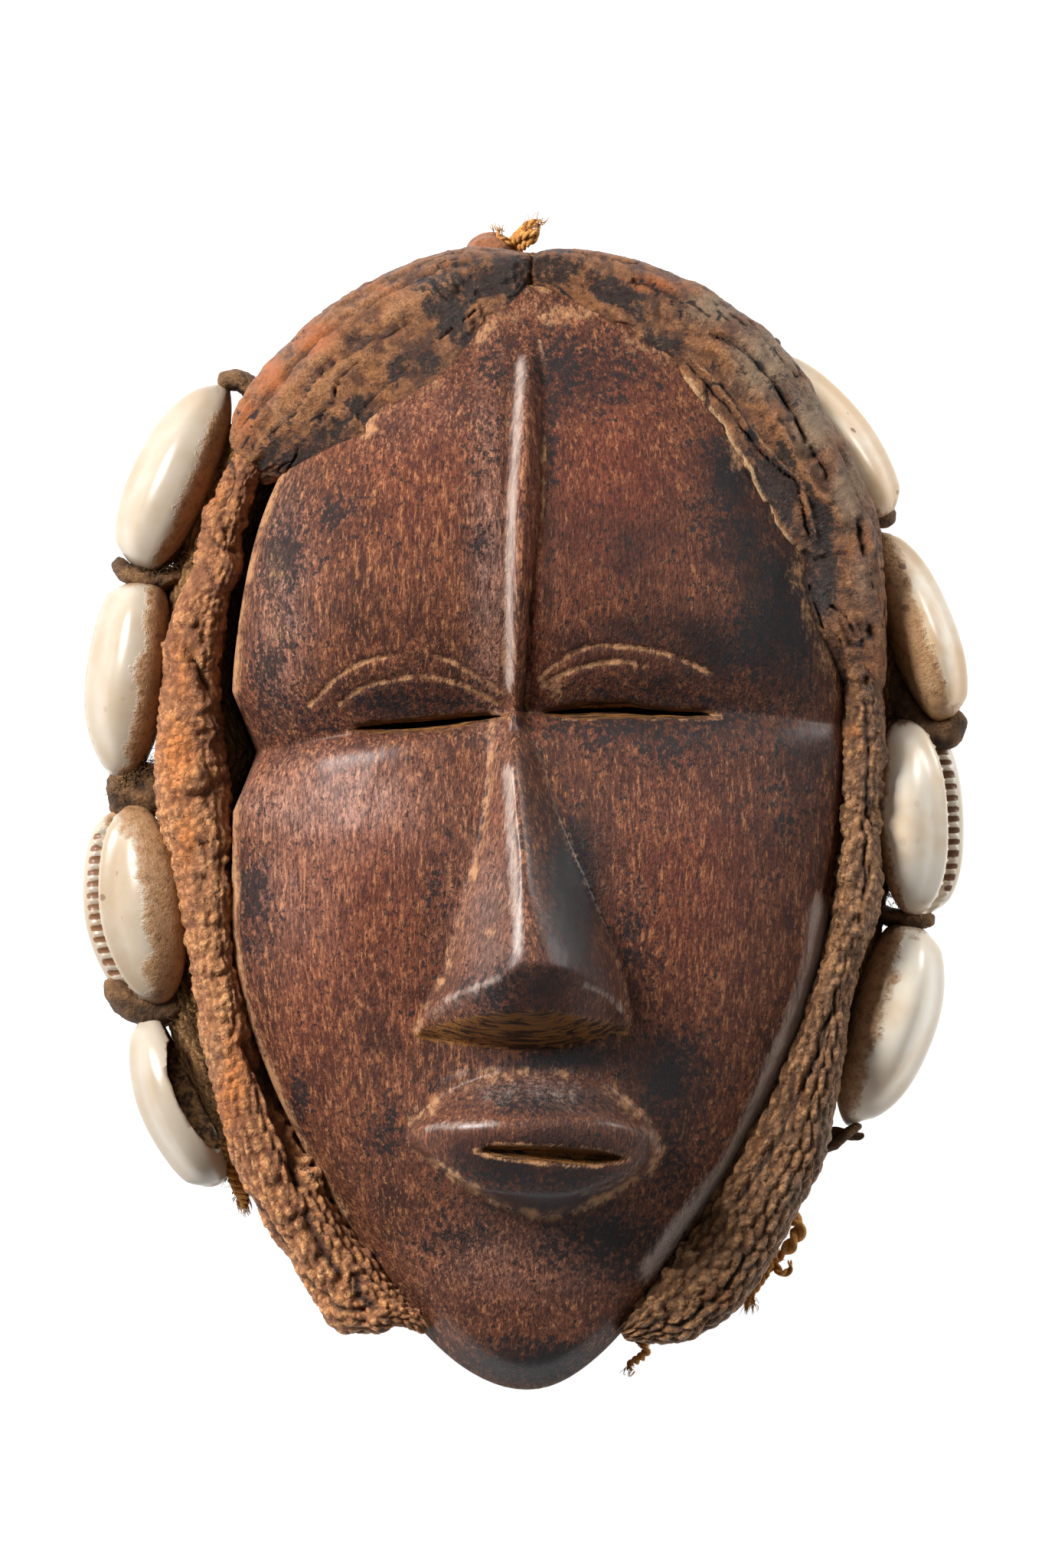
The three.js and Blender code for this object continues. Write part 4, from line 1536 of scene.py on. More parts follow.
@dataclass(frozen=True)
class CarvedWood:
    """Old carved wood: brown, flecked along the grain, black with age and dusty in its cuts, with painted
    highlights, a broad painted sheen and patches of painted shade.
    """

    name: str = "carved_wood"
    deep: Colour = tone(62, 34, 27)
    brown: Colour = tone(124, 72, 49)
    fleck: Colour = tone(190, 128, 84)
    red: Colour = tone(130, 58, 37)
    black: Colour = tone(31, 28, 31)
    # The tone of the patches darkened with age and of the painted shade.
    patina_and_shade_tone: Colour = tone(31, 22, 20)
    # The colour of the painted highlights.
    painted_highlight: Colour = tone(196, 176, 164)
    # The colour of the broad painted sheen.
    glow: Colour = tone(222, 172, 152)
    dust: Colour = tone(200, 148, 106)
    raw: Colour = tone(178, 120, 60)

    def make(self) -> bpy.types.Material:
        """Makes the material.

        Returns:
            The material.
        """
        kit = ShaderKit(self.name)
        strokes = kit.noise(0.34, detail=5, rough=0.8, stretch=(1, 0.2, 1))
        pores = kit.noise(0.2, detail=2, rough=0.6, stretch=(1, 0.4, 1))
        streaks = kit.noise(0.7, detail=5, rough=0.68, stretch=(1, 0.12, 1), warp=0.3)
        clouds = kit.noise(5, detail=6, rough=0.7)
        speckle = kit.noise(0.62, detail=6, rough=0.75, stretch=(1, 0.75, 1))
        behind, under = kit.stored("behind"), kit.stored("under")
        warm, worn, gloom = kit.stored("warm"), kit.stored("worn"), kit.stored("gloom")
        colour = kit.mixed((clouds * 0.7 + streaks * 0.3).rising(0.38, 0.6), self.deep, self.brown)
        colour = kit.mixed(warm * (0.25 + streaks * 0.7), colour, self.red)
        flecks = (strokes * 0.7 + streaks * 0.3 + worn * 0.03 - gloom * 0.05).rising(0.5, 0.62)
        colour = kit.mixed(flecks * 0.78, colour, self.fleck)
        colour = kit.mixed(strokes.rising(0.5, 0.38) * 0.9, colour, self.deep)
        # Darkening with age and painted shade, from the dark patches.
        glooming = (gloom * 0.9 + (streaks - 0.5) * 0.7 + (speckle - 0.5) * 0.6).rising(0.1, 1.0)
        colour = kit.mixed(glooming * 0.92, colour, self.patina_and_shade_tone)
        # The broad painted sheen.
        colour = kit.mixed(kit.stored("glow") * strokes.rising(0.3, 0.7), colour, self.glow)
        colour = kit.mixed(pores.rising(0.42, 0.32) * 0.8, colour, self.black)
        density = kit.stored("black") * 0.17 + clouds * 0.36 - worn * 0.06
        black = (speckle * 0.8 + strokes * 0.2 + density).rising(0.745, 0.795)
        colour = kit.mixed(black * 0.9, colour, self.black)
        dusty = (speckle * 0.6 + strokes * 0.35 + kit.stored("dust") * 0.42).rising(0.62, 0.84)
        colour = kit.mixed(dusty * 0.85, colour, self.dust)
        # Painted highlights along the sheen lines.
        painted_highlight = (kit.stored("sheen") * 0.8 + (streaks - 0.5) * 0.9 + (strokes - 0.5) * 0.5)
        painted_highlight = painted_highlight.rising(0.18, 0.85)
        colour = kit.mixed(painted_highlight * 0.8, colour, self.painted_highlight)
        lines = kit.noise(1.0, detail=5, rough=0.7, stretch=(0.16, 1, 1), warp=1.4)
        bare = kit.mixed(lines.rising(0.42, 0.56), self.black, self.raw)
        colour = kit.mixed(under * 0.85, colour, bare)
        inside = kit.mixed(streaks.rising(0.35, 0.65), self.deep, self.raw)
        colour = kit.mixed(behind, colour, inside)
        rough = (0.43 - worn * 0.16 - gloom * 0.05 + kit.stored("matte") * 0.2 + dusty * 0.35 + behind * 0.3
                 + (0.5 - strokes) * 0.4)
        relief = strokes * 0.7 + pores * 0.6 + speckle * 0.35
        normal = kit.bump(relief, 0.34)
        gloss = (1 - kit.stored("matte")) * (gloom * 0.25 + worn * 0.35 + 0.1)
        return kit.finish(colour, rough.clamped(), normal, Specular_IOR_Level=0.2,
                          Coat_Weight=gloss.clamped(), Coat_Roughness=0.3)


# The hair rolls

HAIRLINE_LEFT: Line = (
    (1.4, 55.2), (0.3, 53.4), (-0.6, 52.5), (-2.2, 51.9), (-3.8, 51.5), (-3.8, 50.9), (-4.7, 50),
    (-5.7, 48.7), (-8.5, 45.7), (-12.2, 43.3), (-13.4, 42.7), (-14.2, 42.7), (-15.5, 41.7),
    (-16.4, 40.6), (-16.5, 39.5), (-17.8, 38.7), (-20.2, 37.5), (-22, 36.6), (-23.9, 35.5),
    (-26.2, 34.1), (-27.8, 33.4),
)
HAIRLINE_RIGHT: Line = (
    (1.2, 54.6), (5.4, 52.9), (10, 50.6), (15.2, 48.2), (18.3, 45.2), (22.2, 40.2),
    (25.8, 33.4), (28.4, 29.2), (30.5, 26.3), (29.9, 23.6), (30.8, 20.6), (31.8, 17.6),
    (33.2, 14.6), (34.4, 11.6),
)


class Hand(Enum):
    """Which way a roll runs from the crown, as seen from the front."""

    CLOCKWISE = 1.0
    ANTICLOCKWISE = -1.0


@dataclass
class HairRoll:
    """A crusted roll of hair that lies over the brow's edge."""

    name: str
    node: str
    hairline: Line
    outer: Sequence[Place]
    creases: tuple[Crease, ...]
    black: tuple[Patch, ...]
    pale: tuple[Patch, ...]
    orange: tuple[Patch, ...]
    pits: tuple[Patch, ...]
    seed: int
    carving: Carving = Carving()
    top: float = 5.6
    bottom: float = 3.0
    sunk: float = 0.5
    hand: Hand = Hand.CLOCKWISE
    drawn_in: float = 0.75
    around: int = 140
    along: int = 340

    def edges(self) -> tuple[Points, Points]:
        """The edge on the brow, uneven and set into the wood's front, and the outer edge.

        Returns:
            Both edges, as x, y and z.
        """
        line = curve(self.hairline, 200)
        uneven = 0.22 * layered_noise(at_height(line), 1.3, self.seed)
        line = line + beside(line) * uneven[:, None]
        outline = self.carving.outline
        reach = np.minimum(outline.reach(line), 0.985)
        z = self.carving.height(line, reach, outline.from_edge(line)) - self.sunk
        outer = curve(self.outer, 200)
        outer[:, :2] -= beside(outer) * self.drawn_in * self.hand.value
        return np.column_stack([line, z]), outer

    def build(self) -> bpy.types.Object:
        """Makes the roll.

        Returns:
            The finished object.
        """
        inner, outer = self.edges()
        bar = Bar(inner, outer, self.top, self.bottom, ends=0.22, square=0.8, lean=0.4)
        bm, turn, down = form_of(self.around, self.along, bar.place)
        roll = finished(bm, self.name)
        points, normals = read_points(roll.data), read_normals(roll.data)
        side = bar.side(turn)
        width = np.linalg.norm(inner - outer, axis=1).mean()
        strip = np.column_stack([bar.part(down) * length_of(inner), side * width * 1.3,
                                 points[:, 2] * 0.2])
        over = smooth_step(-0.1, 0.2, normals[:, 2])
        shifted = warped(points, 2.4, 0.45, self.seed + 1)
        fine = layered_noise(points, 0.8, self.seed + 4, 3)
        amount = 0.3 * layered_noise(strip * (0.3, 1, 1), 4.5, self.seed + 3, 3) + 0.15 * fine
        crack = crackle(strip * (0.45, 1, 1), 2.8, self.seed + 5, 0.035)
        crack *= smooth_step(0.0, 0.4, lattice_noise(points, 5, self.seed + 6))
        broken = smooth_step(-0.6, 0.0, layered_noise(points, 1.6, self.seed + 9))
        dusty = np.zeros(len(points))
        folds = 1 - np.abs(layered_noise(strip * (0.22, 1, 1), 1.9, self.seed + 10, 3))
        folded = smooth_step(-0.5, 0.3, lattice_noise(points, 7, self.seed + 11))
        amount += 0.6 * (folds**2 - 0.5) * folded
        for crease in self.creases:
            low = crease.high < -0.3
            near = crease.near(shifted) ** (2.4 if low else 1.0)
            amount += 1.3 * crease.high * near * over * (0.3 + 0.7 * broken)
            dusty = np.maximum(dusty, crease.dusty * near)
            crack = np.maximum(crack, 0.62 * near * low * broken)
        pits = patched(self.pits, shifted)
        amount -= 0.25 * crack + pits * (0.6 + 0.7 * layered_noise(points, 0.9, self.seed + 7))
        write_points(roll.data, swollen(points, normals, amount))
        blotch = layered_noise(strip * (0.45, 1, 1), 3.2, self.seed + 8, 4)
        blackened = 0.9 * smooth_step(-0.1, 0.4, blotch) * (1 - 0.7 * side)
        keep_values(roll, black=patched(self.black, shifted) + blackened,
                    pale=patched(self.pale, shifted), orange=patched(self.orange, shifted),
                    crack=crack + pits * 0.7, dust=dusty,
                    relief=0.5 + 0.4 * fine + 0.7 * (amount - amount.mean()))
        return roll


def left_roll() -> HairRoll:
    """The roll over the left side of the brow.

    Returns:
        The roll's sizes and marks.
    """
    return HairRoll(
        "crusted_roll_left", "left_roll", HAIRLINE_LEFT,
        outer=((2.4, 59.6, 19), (-5.8, 59.3, 18), (-11.8, 57.6, 17.6), (-18.2, 54.4, 17.6),
               (-23, 50.7, 17.6), (-27.4, 46.6, 17.6), (-30, 43, 18), (-31, 38, 18.6)),
        creases=(
            Crease(((-3.6, 58.9), (-9, 57.7), (-15, 54.6), (-20.2, 51.6), (-23.9, 48),
                    (-27.6, 43.4), (-29.7, 40.6)), 0.31, -0.4, 0.8),
            Crease(((-11.5, 52.7), (-13.6, 51.1), (-16.9, 49.4), (-19.2, 48), (-21.6, 46.6),
                    (-23.2, 44.1), (-25.5, 41), (-27.8, 39.2)), 0.28, -0.76, 0.7),
            Crease(((-16.6, 48), (-18.3, 47.1), (-20, 45.2), (-20.4, 43.4), (-21.6, 41.7),
                    (-22.2, 39.6)), 0.2, -0.64, 0.0),
            Crease(((-16, 49), (-20.4, 46.1), (-23.9, 42.2), (-26.4, 39)), 0.9, 0.55),
            Crease(((-18, 49.8), (-21, 48.2), (-23.9, 45.6), (-26.9, 42)), 0.8, 0.5),
            Crease(((-4.4, 53.4), (-6.4, 52), (-7.6, 51.2), (-9.4, 49.6)), 0.15, -0.48, 0.3),
            Crease(((-12, 46.6), (-14.6, 45), (-16.6, 42.9), (-18, 41.6)), 0.17, -0.4, 0.2),
            Crease(((-24, 38.4), (-24.4, 37), (-25.2, 35.6)), 0.15, -0.4, 0.0),
            Crease(((-6.8, 55.4), (-11.6, 54), (-15.4, 51.6)), 1.2, 0.35),
        ),
        black=rows_of((-0.6, 55.6, 2.4, 3.2, 1.0), (-8.6, 53.4, 2.2, 1.6, 0.9),
            (-6.4, 50.6, 1.4, 2.2, 1.0), (-10.4, 47.6, 3, 2, 0.9), (-13, 47, 2.4, 2.2, 0.8),
            (-17.6, 50, 2.2, 1.2, 0.8), (-17.6, 42.4, 2.2, 1.8, 0.8), (-20.6, 40, 3, 2.2, 0.9),
            (-24.6, 38, 3.4, 2.4, 0.7), (-25.4, 41, 2, 3, 0.6), (-10, 56, 4.6, 1.2, 0.7),
            (-4.6, 55.6, 2, 1.4, 0.7)),
        pale=rows_of((-26, 42.2, 1.2, 2.6, 0.5), (-20.6, 46.4, 3, 1, 0.4)),
        orange=rows_of((-22, 50.2, 3.4, 2.8, 1.0), (-27, 46, 2.6, 3.4, 1.0), (-14, 55.4, 5, 1.4, 0.7),
            (-29.6, 41.6, 1.8, 4, 0.9), (-6.4, 58.4, 5, 1.2, 0.5)),
        pits=rows_of((-4.8, 51.4, 0.5, 0.7, 0.6)), seed=100,
        hand=Hand.ANTICLOCKWISE)


def right_roll() -> HairRoll:
    """The roll over the right side of the brow, with the lump at its lower end.

    Returns:
        The roll's sizes and marks.
    """
    return HairRoll(
        "crusted_roll_right", "right_roll", HAIRLINE_RIGHT,
        outer=((0.6, 60.2, 19), (6.6, 59.4, 18.6), (13.7, 57.3, 18), (21.4, 53, 17.6),
               (26.4, 49.6, 17.6), (31, 43, 17.6), (35, 36.4, 17.6), (37.6, 29, 18),
               (38.6, 20, 18), (39.2, 11, 18)),
        creases=(
            Crease(((16.9, 47.1), (19.5, 44.3), (22, 40.9), (23.9, 37.6), (25.8, 34),
                    (28, 30.4), (29.9, 27.6), (30.6, 25.4)), 0.42, 0.55, 1.0),
            Crease(((16, 49.4), (19.5, 45.7), (22, 43.1), (24.5, 39.7), (27.1, 36.9),
                    (29.3, 34.9), (30.3, 32.5), (30.9, 29.9), (31.5, 27.1)), 0.16, -0.56, 0.0),
            Crease(((17.4, 49), (20.1, 46.1), (22.6, 43.4), (25.1, 40), (27.7, 37.2),
                    (29.8, 35), (30.8, 32.5), (31.5, 29.9), (32, 27.1)), 0.3, 0.35, 0.8),
            Crease(((20.4, 49.9), (23.3, 47.1), (26.4, 43.3), (29.6, 38.2), (31.2, 34.7),
                    (33.7, 32.1), (36, 29.3)), 0.5, 0.7, 0.5),
            Crease(((19.5, 51.2), (23.9, 49.3), (26.8, 46.4), (29.4, 42.4), (31.6, 38.6),
                    (33, 36), (33.9, 33.7)), 0.43, -0.68, 0.4),
            Crease(((9, 51.4), (10.6, 51.8), (12.4, 51)), 0.31, -0.72, 0.2),
            Crease(((3.4, 55.2), (6.6, 53.6), (9.4, 52.4)), 0.25, -0.4, 0.9),
            Crease(((11.6, 56.8), (14.6, 55.6), (17.6, 54.4)), 0.56, -0.4, 0.0),
            Crease(((31.4, 26.2), (33.6, 26.8), (35.6, 27)), 0.31, -0.4, 0.8),
            Crease(((31.2, 23.8), (32.2, 21), (33, 18.6)), 0.14, -0.4, 0.7),
            Crease(((33.4, 21.6), (35.4, 20), (36.4, 17.6)), 0.22, -0.4, 0.5),
            Crease(((36.6, 31), (36.9, 28.6), (37.4, 26)), 0.25, -0.56, 0.2),
        ),
        black=rows_of((3.4, 58, 3.4, 2.4, 0.9), (9.4, 55.4, 2.6, 1.2, 0.9), (15.6, 49.6, 2.6, 1.6, 1.0),
            (12.6, 53.4, 2, 1.6, 0.7), (28.6, 37, 1.3, 1.5, 1.0), (26.6, 35, 2, 2, 1.0),
            (28.4, 31.4, 1.6, 3, 1.0), (32.4, 30, 1.5, 4, 1.0), (32.6, 23.6, 2.2, 3.6, 0.9),
            (31.6, 20, 1.2, 3, 0.9), (36.6, 17.6, 2, 2, 0.7), (20.4, 46.8, 1.8, 2.4, 0.5)),
        pale=rows_of((26.6, 47.6, 5, 5, 1.0), (31.6, 41.6, 3.4, 6, 1.0), (35.6, 33.6, 2.6, 6, 0.9),
            (20.6, 53.6, 3.4, 2.4, 0.9), (37, 24, 1.8, 5, 0.6), (2.4, 54.4, 1.8, 1, 1.0)),
        orange=rows_of((14, 56, 4.4, 1.4, 1.0), (31.8, 37.4, 1.6, 1.4, 0.8), (30.6, 47, 2.2, 2, 0.4),
            (38.4, 15, 2, 2.4, 0.7)),
        pits=rows_of((26.2, 47.4, 0.8, 1.2, 0.8), (31.6, 37.6, 1.1, 0.8, 0.8),
            (36.8, 28.8, 0.5, 0.9, 0.8), (10.6, 51.4, 1.3, 0.5, 0.9), (28.6, 44.6, 0.5, 1.2, 0.7),
            (37.8, 18.4, 0.6, 0.5, 0.8)),
        seed=140)


@dataclass(frozen=True)
class Crust:
    """Hair under a dried crust: ochre brown, black where it is polished, dusty in its cracks, with painted
    shade in its low places, between its beads and between the plaits' loops.
    """

    name: str = "hair_crust"
    ochre: Colour = tone(146, 94, 56)
    umber: Colour = tone(80, 48, 32)
    light: Colour = tone(192, 138, 90)
    orange: Colour = tone(182, 102, 50)
    pale: Colour = tone(160, 134, 106)
    black: Colour = tone(30, 25, 26)
    dust: Colour = tone(212, 172, 126)
    darkness: float = 0.0
    shine: float = 0.0
    depth: float = 0.45
    beaded: float = 0.0
    bead_size: float = 0.95

    def make(self) -> bpy.types.Material:
        """Makes the material.

        Returns:
            The material.
        """
        kit = ShaderKit(self.name)
        clouds = kit.noise(2.4, detail=6, rough=0.7)
        speckle = kit.noise(0.62, detail=6, rough=0.78, warp=0.3)
        grain = kit.noise(0.26, detail=4, rough=0.75)
        relief = kit.stored("relief")
        base = (clouds * 0.45 + speckle * 0.35 + relief * 0.2).rising(0.38, 0.6)
        colour = kit.mixed(base, self.umber, self.ochre)
        light = (grain * 0.55 + speckle * 0.3 + relief * 0.15).rising(0.5, 0.64)
        colour = kit.mixed(light * 0.75, colour, self.light)
        orange = (kit.stored("orange") * 0.3 + grain * 0.4 + speckle * 0.4).rising(0.5, 0.74)
        colour = kit.mixed(orange * 0.85, colour, self.orange)
        pale = (kit.stored("pale") * 0.35 + grain * 0.5 + speckle * 0.3).rising(0.5, 0.76)
        colour = kit.mixed(pale * 0.85, colour, self.pale)
        density = kit.stored("black") * 0.23 + clouds * 0.3 - relief * 0.1 + self.darkness
        dark = (speckle * 0.75 + grain * 0.25 + density).rising(0.735, 0.785)
        colour = kit.mixed(dark * 0.92, colour, self.black)
        dusty = (kit.stored("dust") * 0.4 + grain * 0.45 + speckle * 0.3).rising(0.62, 0.8)
        colour = kit.mixed(dusty * 0.85, colour, self.dust)
        # Painted shade in the low places of the relief.
        low = (0.5 - relief * 0.8 + grain * 0.5).rising(0.42, 0.75)
        colour = kit.mixed(low * 0.55, colour, self.umber)
        # Dark cracks, and the painted shade that the plaits store with them.
        crack = (kit.stored("crack") + (grain - 0.5) * 0.7).rising(0.35, 0.7)
        colour = kit.mixed(crack * 0.9, colour, self.black)
        rough = 0.52 - self.shine - dark * 0.12 + dusty * 0.25 + (grain - 0.5) * 0.8 + crack * 0.3
        grit = kit.noise(0.42, detail=3, rough=0.65)
        relieved = speckle * 0.8 + grain * 0.6 + grit * 0.8
        if self.beaded:
            beads = (kit.cells(self.bead_size) + (speckle - 0.5) * 0.5).rising(0.7, 0.15)
            relieved = relieved + beads * self.beaded
            # Painted shade between the beads.
            colour = kit.mixed(beads.rising(0.3, 0.0) * 0.5, colour, self.umber)
        normal = kit.bump(relieved, self.depth)
        return kit.finish(colour, rough.clamped(), normal, Specular_IOR_Level=0.45)


# The plaits

@dataclass(frozen=True)
class Knob:
    """A round lump or knot on a plait."""

    x: float
    y: float
    size: float
    high: float

    def over(self, xy: Points) -> Points:
        """How far it stands out at points."""
        far = np.linalg.norm(xy - (self.x, self.y), axis=1) / self.size
        return self.high * np.sqrt(np.clip(1 - far**2, 0, 1))


@dataclass
class Plait:
    """A plait of hair that runs down beside the wood, crusted above and looped below."""

    name: str
    node: str
    inner: Line
    outer: Line
    seed: int
    creases: tuple[Crease, ...]
    knobs: tuple[Knob, ...]
    black: tuple[Patch, ...]
    pale: tuple[Patch, ...]
    orange: tuple[Patch, ...]
    loops_below: tuple[float, float]
    loop_length: float
    rows: int
    loop_height: float
    cleft: tuple[float, float]
    pebble: float = 0.95
    pebble_height: float = 0.6
    middle_z: float = 21.5
    thickness: float = 9.0
    around: int = 112
    along: int = 370

    def edge(self, points: Line) -> Points:
        """One edge as x, y and z."""
        return at_height(curve(points, 220), self.middle_z)

    def snug(self) -> Points:
        """The inner edge, drawn up to the wood but for a cleft, wider above than below.

        Returns:
            The edge, as x, y and z.
        """
        line = self.edge(self.inner)
        wood, out = Outline().close_line()
        at = np.linalg.norm(line[:, None, :2] - wood[None], axis=2).argmin(axis=1)
        away = out[at]
        stand = ((line[:, :2] - wood[at]) * away).sum(axis=1)
        above, below = self.cleft
        wanted = below + (above - below) * smooth_step(-8, 12, line[:, 1])
        wanted = wanted - 1.5 * smooth_step(-44, -52, line[:, 1])
        step = np.where(stand < 3.0, np.maximum(stand - wanted, 0), 0)
        line[:, :2] -= away * step[:, None]
        return line

    def build(self) -> bpy.types.Object:
        """Makes the plait.

        Returns:
            The finished object.
        """
        inner, outer = self.snug(), self.edge(self.outer)
        half = self.thickness / 2
        bar = Bar(inner, outer, half - 0.3, half - 0.2, ends=0.16, square=0.85)
        bm, turn, down = form_of(self.around, self.along, bar.place)
        plait = finished(bm, self.name)
        points, normals = read_points(plait.data), read_normals(plait.data)
        xy = points[:, :2]
        part = bar.part(down)
        girth = 2.2 * (half + np.linalg.norm(inner - outer, axis=1).mean() / 2)
        strip = at_height(np.column_stack([part * length_of(inner), turn * girth * math.pi / 2]))
        drift = 0.7 * layered_noise(points, 5, self.seed, 2)
        looped = smooth_step(self.loops_below[0], self.loops_below[1], xy[:, 1])
        size = 1 + 0.3 * smooth_step(10, -50, xy[:, 1])
        uneven = 0.22 * layered_noise(points, 1.6, self.seed + 1, 2)
        stitch = loops(strip[:, 0] / self.loop_length / size + drift * 0.5 + uneven,
                       turn * self.rows + drift * 0.5 + uneven, 0.5)
        crust = pebbles(strip + 0.4 * uneven[:, None], self.pebble, self.seed + 2)
        crust *= 0.35 + 0.65 * smooth_step(-0.3, 0.4, lattice_noise(points, 1.9, self.seed + 3))
        coarse = pebbles(strip * (0.8, 1, 1) + 0.9 * uneven[:, None], 1.25, self.seed + 12)
        crust = 0.7 * crust + 0.6 * coarse * smooth_step(-12, 2, -xy[:, 1])
        amount = self.loop_height * stitch * looped
        amount += self.pebble_height * crust * (1 - 0.7 * looped)
        amount += 0.4 * layered_noise(points, 5, self.seed + 4, 3)
        amount += 0.2 * layered_noise(points, 0.9, self.seed + 5, 3)
        over = smooth_step(-0.1, 0.25, normals[:, 2])
        shifted = warped(points, 2, 0.35, self.seed + 6)
        crack, dusty = np.zeros(len(points)), np.zeros(len(points))
        for crease in self.creases:
            near = crease.near(shifted)
            amount += crease.high * near * over
            dusty = np.maximum(dusty, crease.dusty * near)
            crack = np.maximum(crack, near * (crease.high < -0.3) * 0.7)
        lumps = np.max([knob.over(shifted) for knob in self.knobs], axis=0) * over
        amount += lumps
        holes = smooth_step(0.5, 0.72, lattice_noise(points, 1.3, self.seed + 8)) * (1 - looped)
        amount -= 0.45 * holes
        write_points(plait.data, swollen(points, normals, amount))
        blotch = layered_noise(points, 2.2, self.seed + 9, 4)
        # Painted shade between the loops and in the holes, stored with the cracks.
        between = (1 - stitch) * looped * 0.5 + holes * 0.4
        relief = 0.42 + 0.5 * (crust - 0.4) * (1 - looped) + 0.55 * (stitch - 0.4) * looped
        keep_values(plait, black=patched(self.black, shifted) * (0.7 + 0.5 * blotch),
                    pale=patched(self.pale, shifted), orange=patched(self.orange, shifted),
                    crack=np.maximum(crack, between - 0.15), dust=dusty,
                    relief=relief + 0.25 * lumps + 0.2 * blotch)
        return plait


def left_plait() -> Plait:
    """The plait down the left side, with small knots in a groove along its lower half.

    Returns:
        The plait's sizes and marks.
    """
    groove = curve(((-29.6, -24.6), (-27.6, -29.3), (-26, -33.4), (-24.4, -37.6),
                    (-23.2, -41.6)), 15)
    rng = np.random.default_rng(11)
    knots = tuple(Knob(x + 0.9 + rng.uniform(-0.3, 0.3), y + rng.uniform(-0.2, 0.2),
                       rng.uniform(0.55, 0.95), rng.uniform(0.7, 1.3)) for x, y in groove)
    return Plait(
        "crusted_plait_left", "left_plait",
        inner=((-28.6, 39.4), (-28.7, 33.9), (-29.6, 30.7), (-30, 26), (-31, 23.4),
               (-32.6, 20.8), (-32.6, 12.6), (-32.4, 5), (-32.2, -4.4), (-32.3, -12.7),
               (-31.4, -20.2), (-30.5, -24), (-28, -29.6), (-24.7, -37), (-22.2, -43.4),
               (-20, -47), (-17.2, -51.4), (-14.4, -53.8), (-12.2, -55.4), (-10, -57)),
        outer=((-30.4, 39.6), (-32.4, 36.2), (-33.4, 33.3), (-34.9, 30), (-35.4, 26),
               (-37.6, 20.8), (-38.6, 16), (-39, 10), (-39.4, 2), (-38.6, -2.7),
               (-36.9, -9), (-35.7, -15.2), (-34.4, -23.5), (-32.8, -31.8), (-30.9, -39),
               (-28.2, -44.8), (-24.8, -50), (-22.8, -53.8), (-20.4, -56.8), (-17.8, -58),
               (-15.6, -57.4), (-13.4, -56.6), (-10.9, -57.4)),
        seed=200,
        creases=(
            Crease(((-37.9, 17.5), (-36.6, 15), (-35.2, 12.4), (-33.9, 10)), 0.75, 1.0),
            Crease(((-37.4, 9.2), (-35.8, 9.4), (-34.4, 8.4), (-33, 7.2)), 0.85, 0.95),
            Crease(((-35.6, 15.6), (-34.4, 13.6), (-33.6, 12)), 0.3, -0.7, 0.6),
            Crease(((-34.6, 31.4), (-32.4, 30.6), (-30, 30)), 0.9, 0.7),
            Crease(((-33.6, 28.4), (-31.8, 27.4), (-30.4, 27)), 0.4, -0.6, 0.4),
            Crease(((-31.6, 38), (-31.4, 34.6), (-32.4, 31.6)), 0.35, -0.7, 0.5),
            Crease(((-30.4, -25.1), (-28.2, -29.3), (-26.6, -33.4), (-25, -37.6),
                    (-23.8, -42.6)), 0.6, -1.7, 0.0),
            Crease(((-23.6, -44), (-21.6, -48), (-19.2, -52)), 0.7, -0.7, 0.0),
            Crease(((-23.4, -51.4), (-20, -54.4), (-16.6, -55.4)), 0.3, -0.6, 0.9),
            Crease(((-17.6, -50.8), (-17.4, -53.4), (-15.2, -55.4)), 0.8, -0.8, 0.0),
            Crease(((-29, -42.4), (-27, -45.4), (-23.4, -50.6)), 0.3, -0.5, 0.6),
        ),
        knobs=knots + (
            Knob(-35.6, 2.6, 1.75, 1.1), Knob(-35.6, 28.6, 1.2, 0.6), Knob(-37.2, -1, 0.8, 0.4),
            Knob(-33.6, 23.4, 1.2, 0.5), Knob(-34.6, 26.4, 0.9, 0.5), Knob(-36.2, 19.6, 1.0, 0.5),
            Knob(-33.2, -18, 0.9, 0.4), Knob(-34, -13, 0.8, 0.35), Knob(-25.6, -44.6, 1.2, 0.5),
            Knob(-23, -48.6, 1.2, 0.5), Knob(-19.4, -55.6, 2.2, 0.6), Knob(-21, -51, 1.0, 0.5),
            Knob(-27.2, -40.2, 1.1, 0.5), Knob(-15.4, -56, 1.4, 0.5),
        ),
        black=rows_of((-34.6, 3.2, 1.1, 1.4, 0.9), (-33.6, 7.4, 1.3, 1.4, 0.9), (-34, 25, 1, 1.2, 0.9),
            (-33.2, -4.4, 1.2, 3, 0.8), (-33, -10.4, 1, 2, 0.8), (-30, 35, 1, 3, 0.6),
            (-24, -41, 1.6, 3, 0.9), (-25.2, -46, 1.4, 3, 0.5), (-17.6, -52, 1.8, 3, 0.8),
            (-32.8, -16, 1.2, 3, 0.5), (-21.6, -47.6, 1.2, 4, 0.7)),
        pale=rows_of((-34.6, -7, 2, 5, 0.5), (-37, 11, 1.2, 3, 0.4), (-32.6, -28, 1.6, 7, 0.6),
            (-35, -1.4, 2, 2, 0.4)),
        orange=rows_of((-37, 5, 2.4, 6, 1.0), (-36.6, 14, 1.6, 5, 0.8), (-36, -4, 1.6, 5, 0.9),
            (-31.2, -30, 2.2, 8, 1.0), (-29, -28, 1.2, 3, 0.9), (-25, -38, 1.4, 4, 0.6),
            (-33, 33, 1.4, 4, 0.7), (-32, 39, 1.4, 3, 0.9)),
        loops_below=(-24, -34), loop_length=1.15, rows=21, loop_height=0.42,
        cleft=(1.4, 0.35))


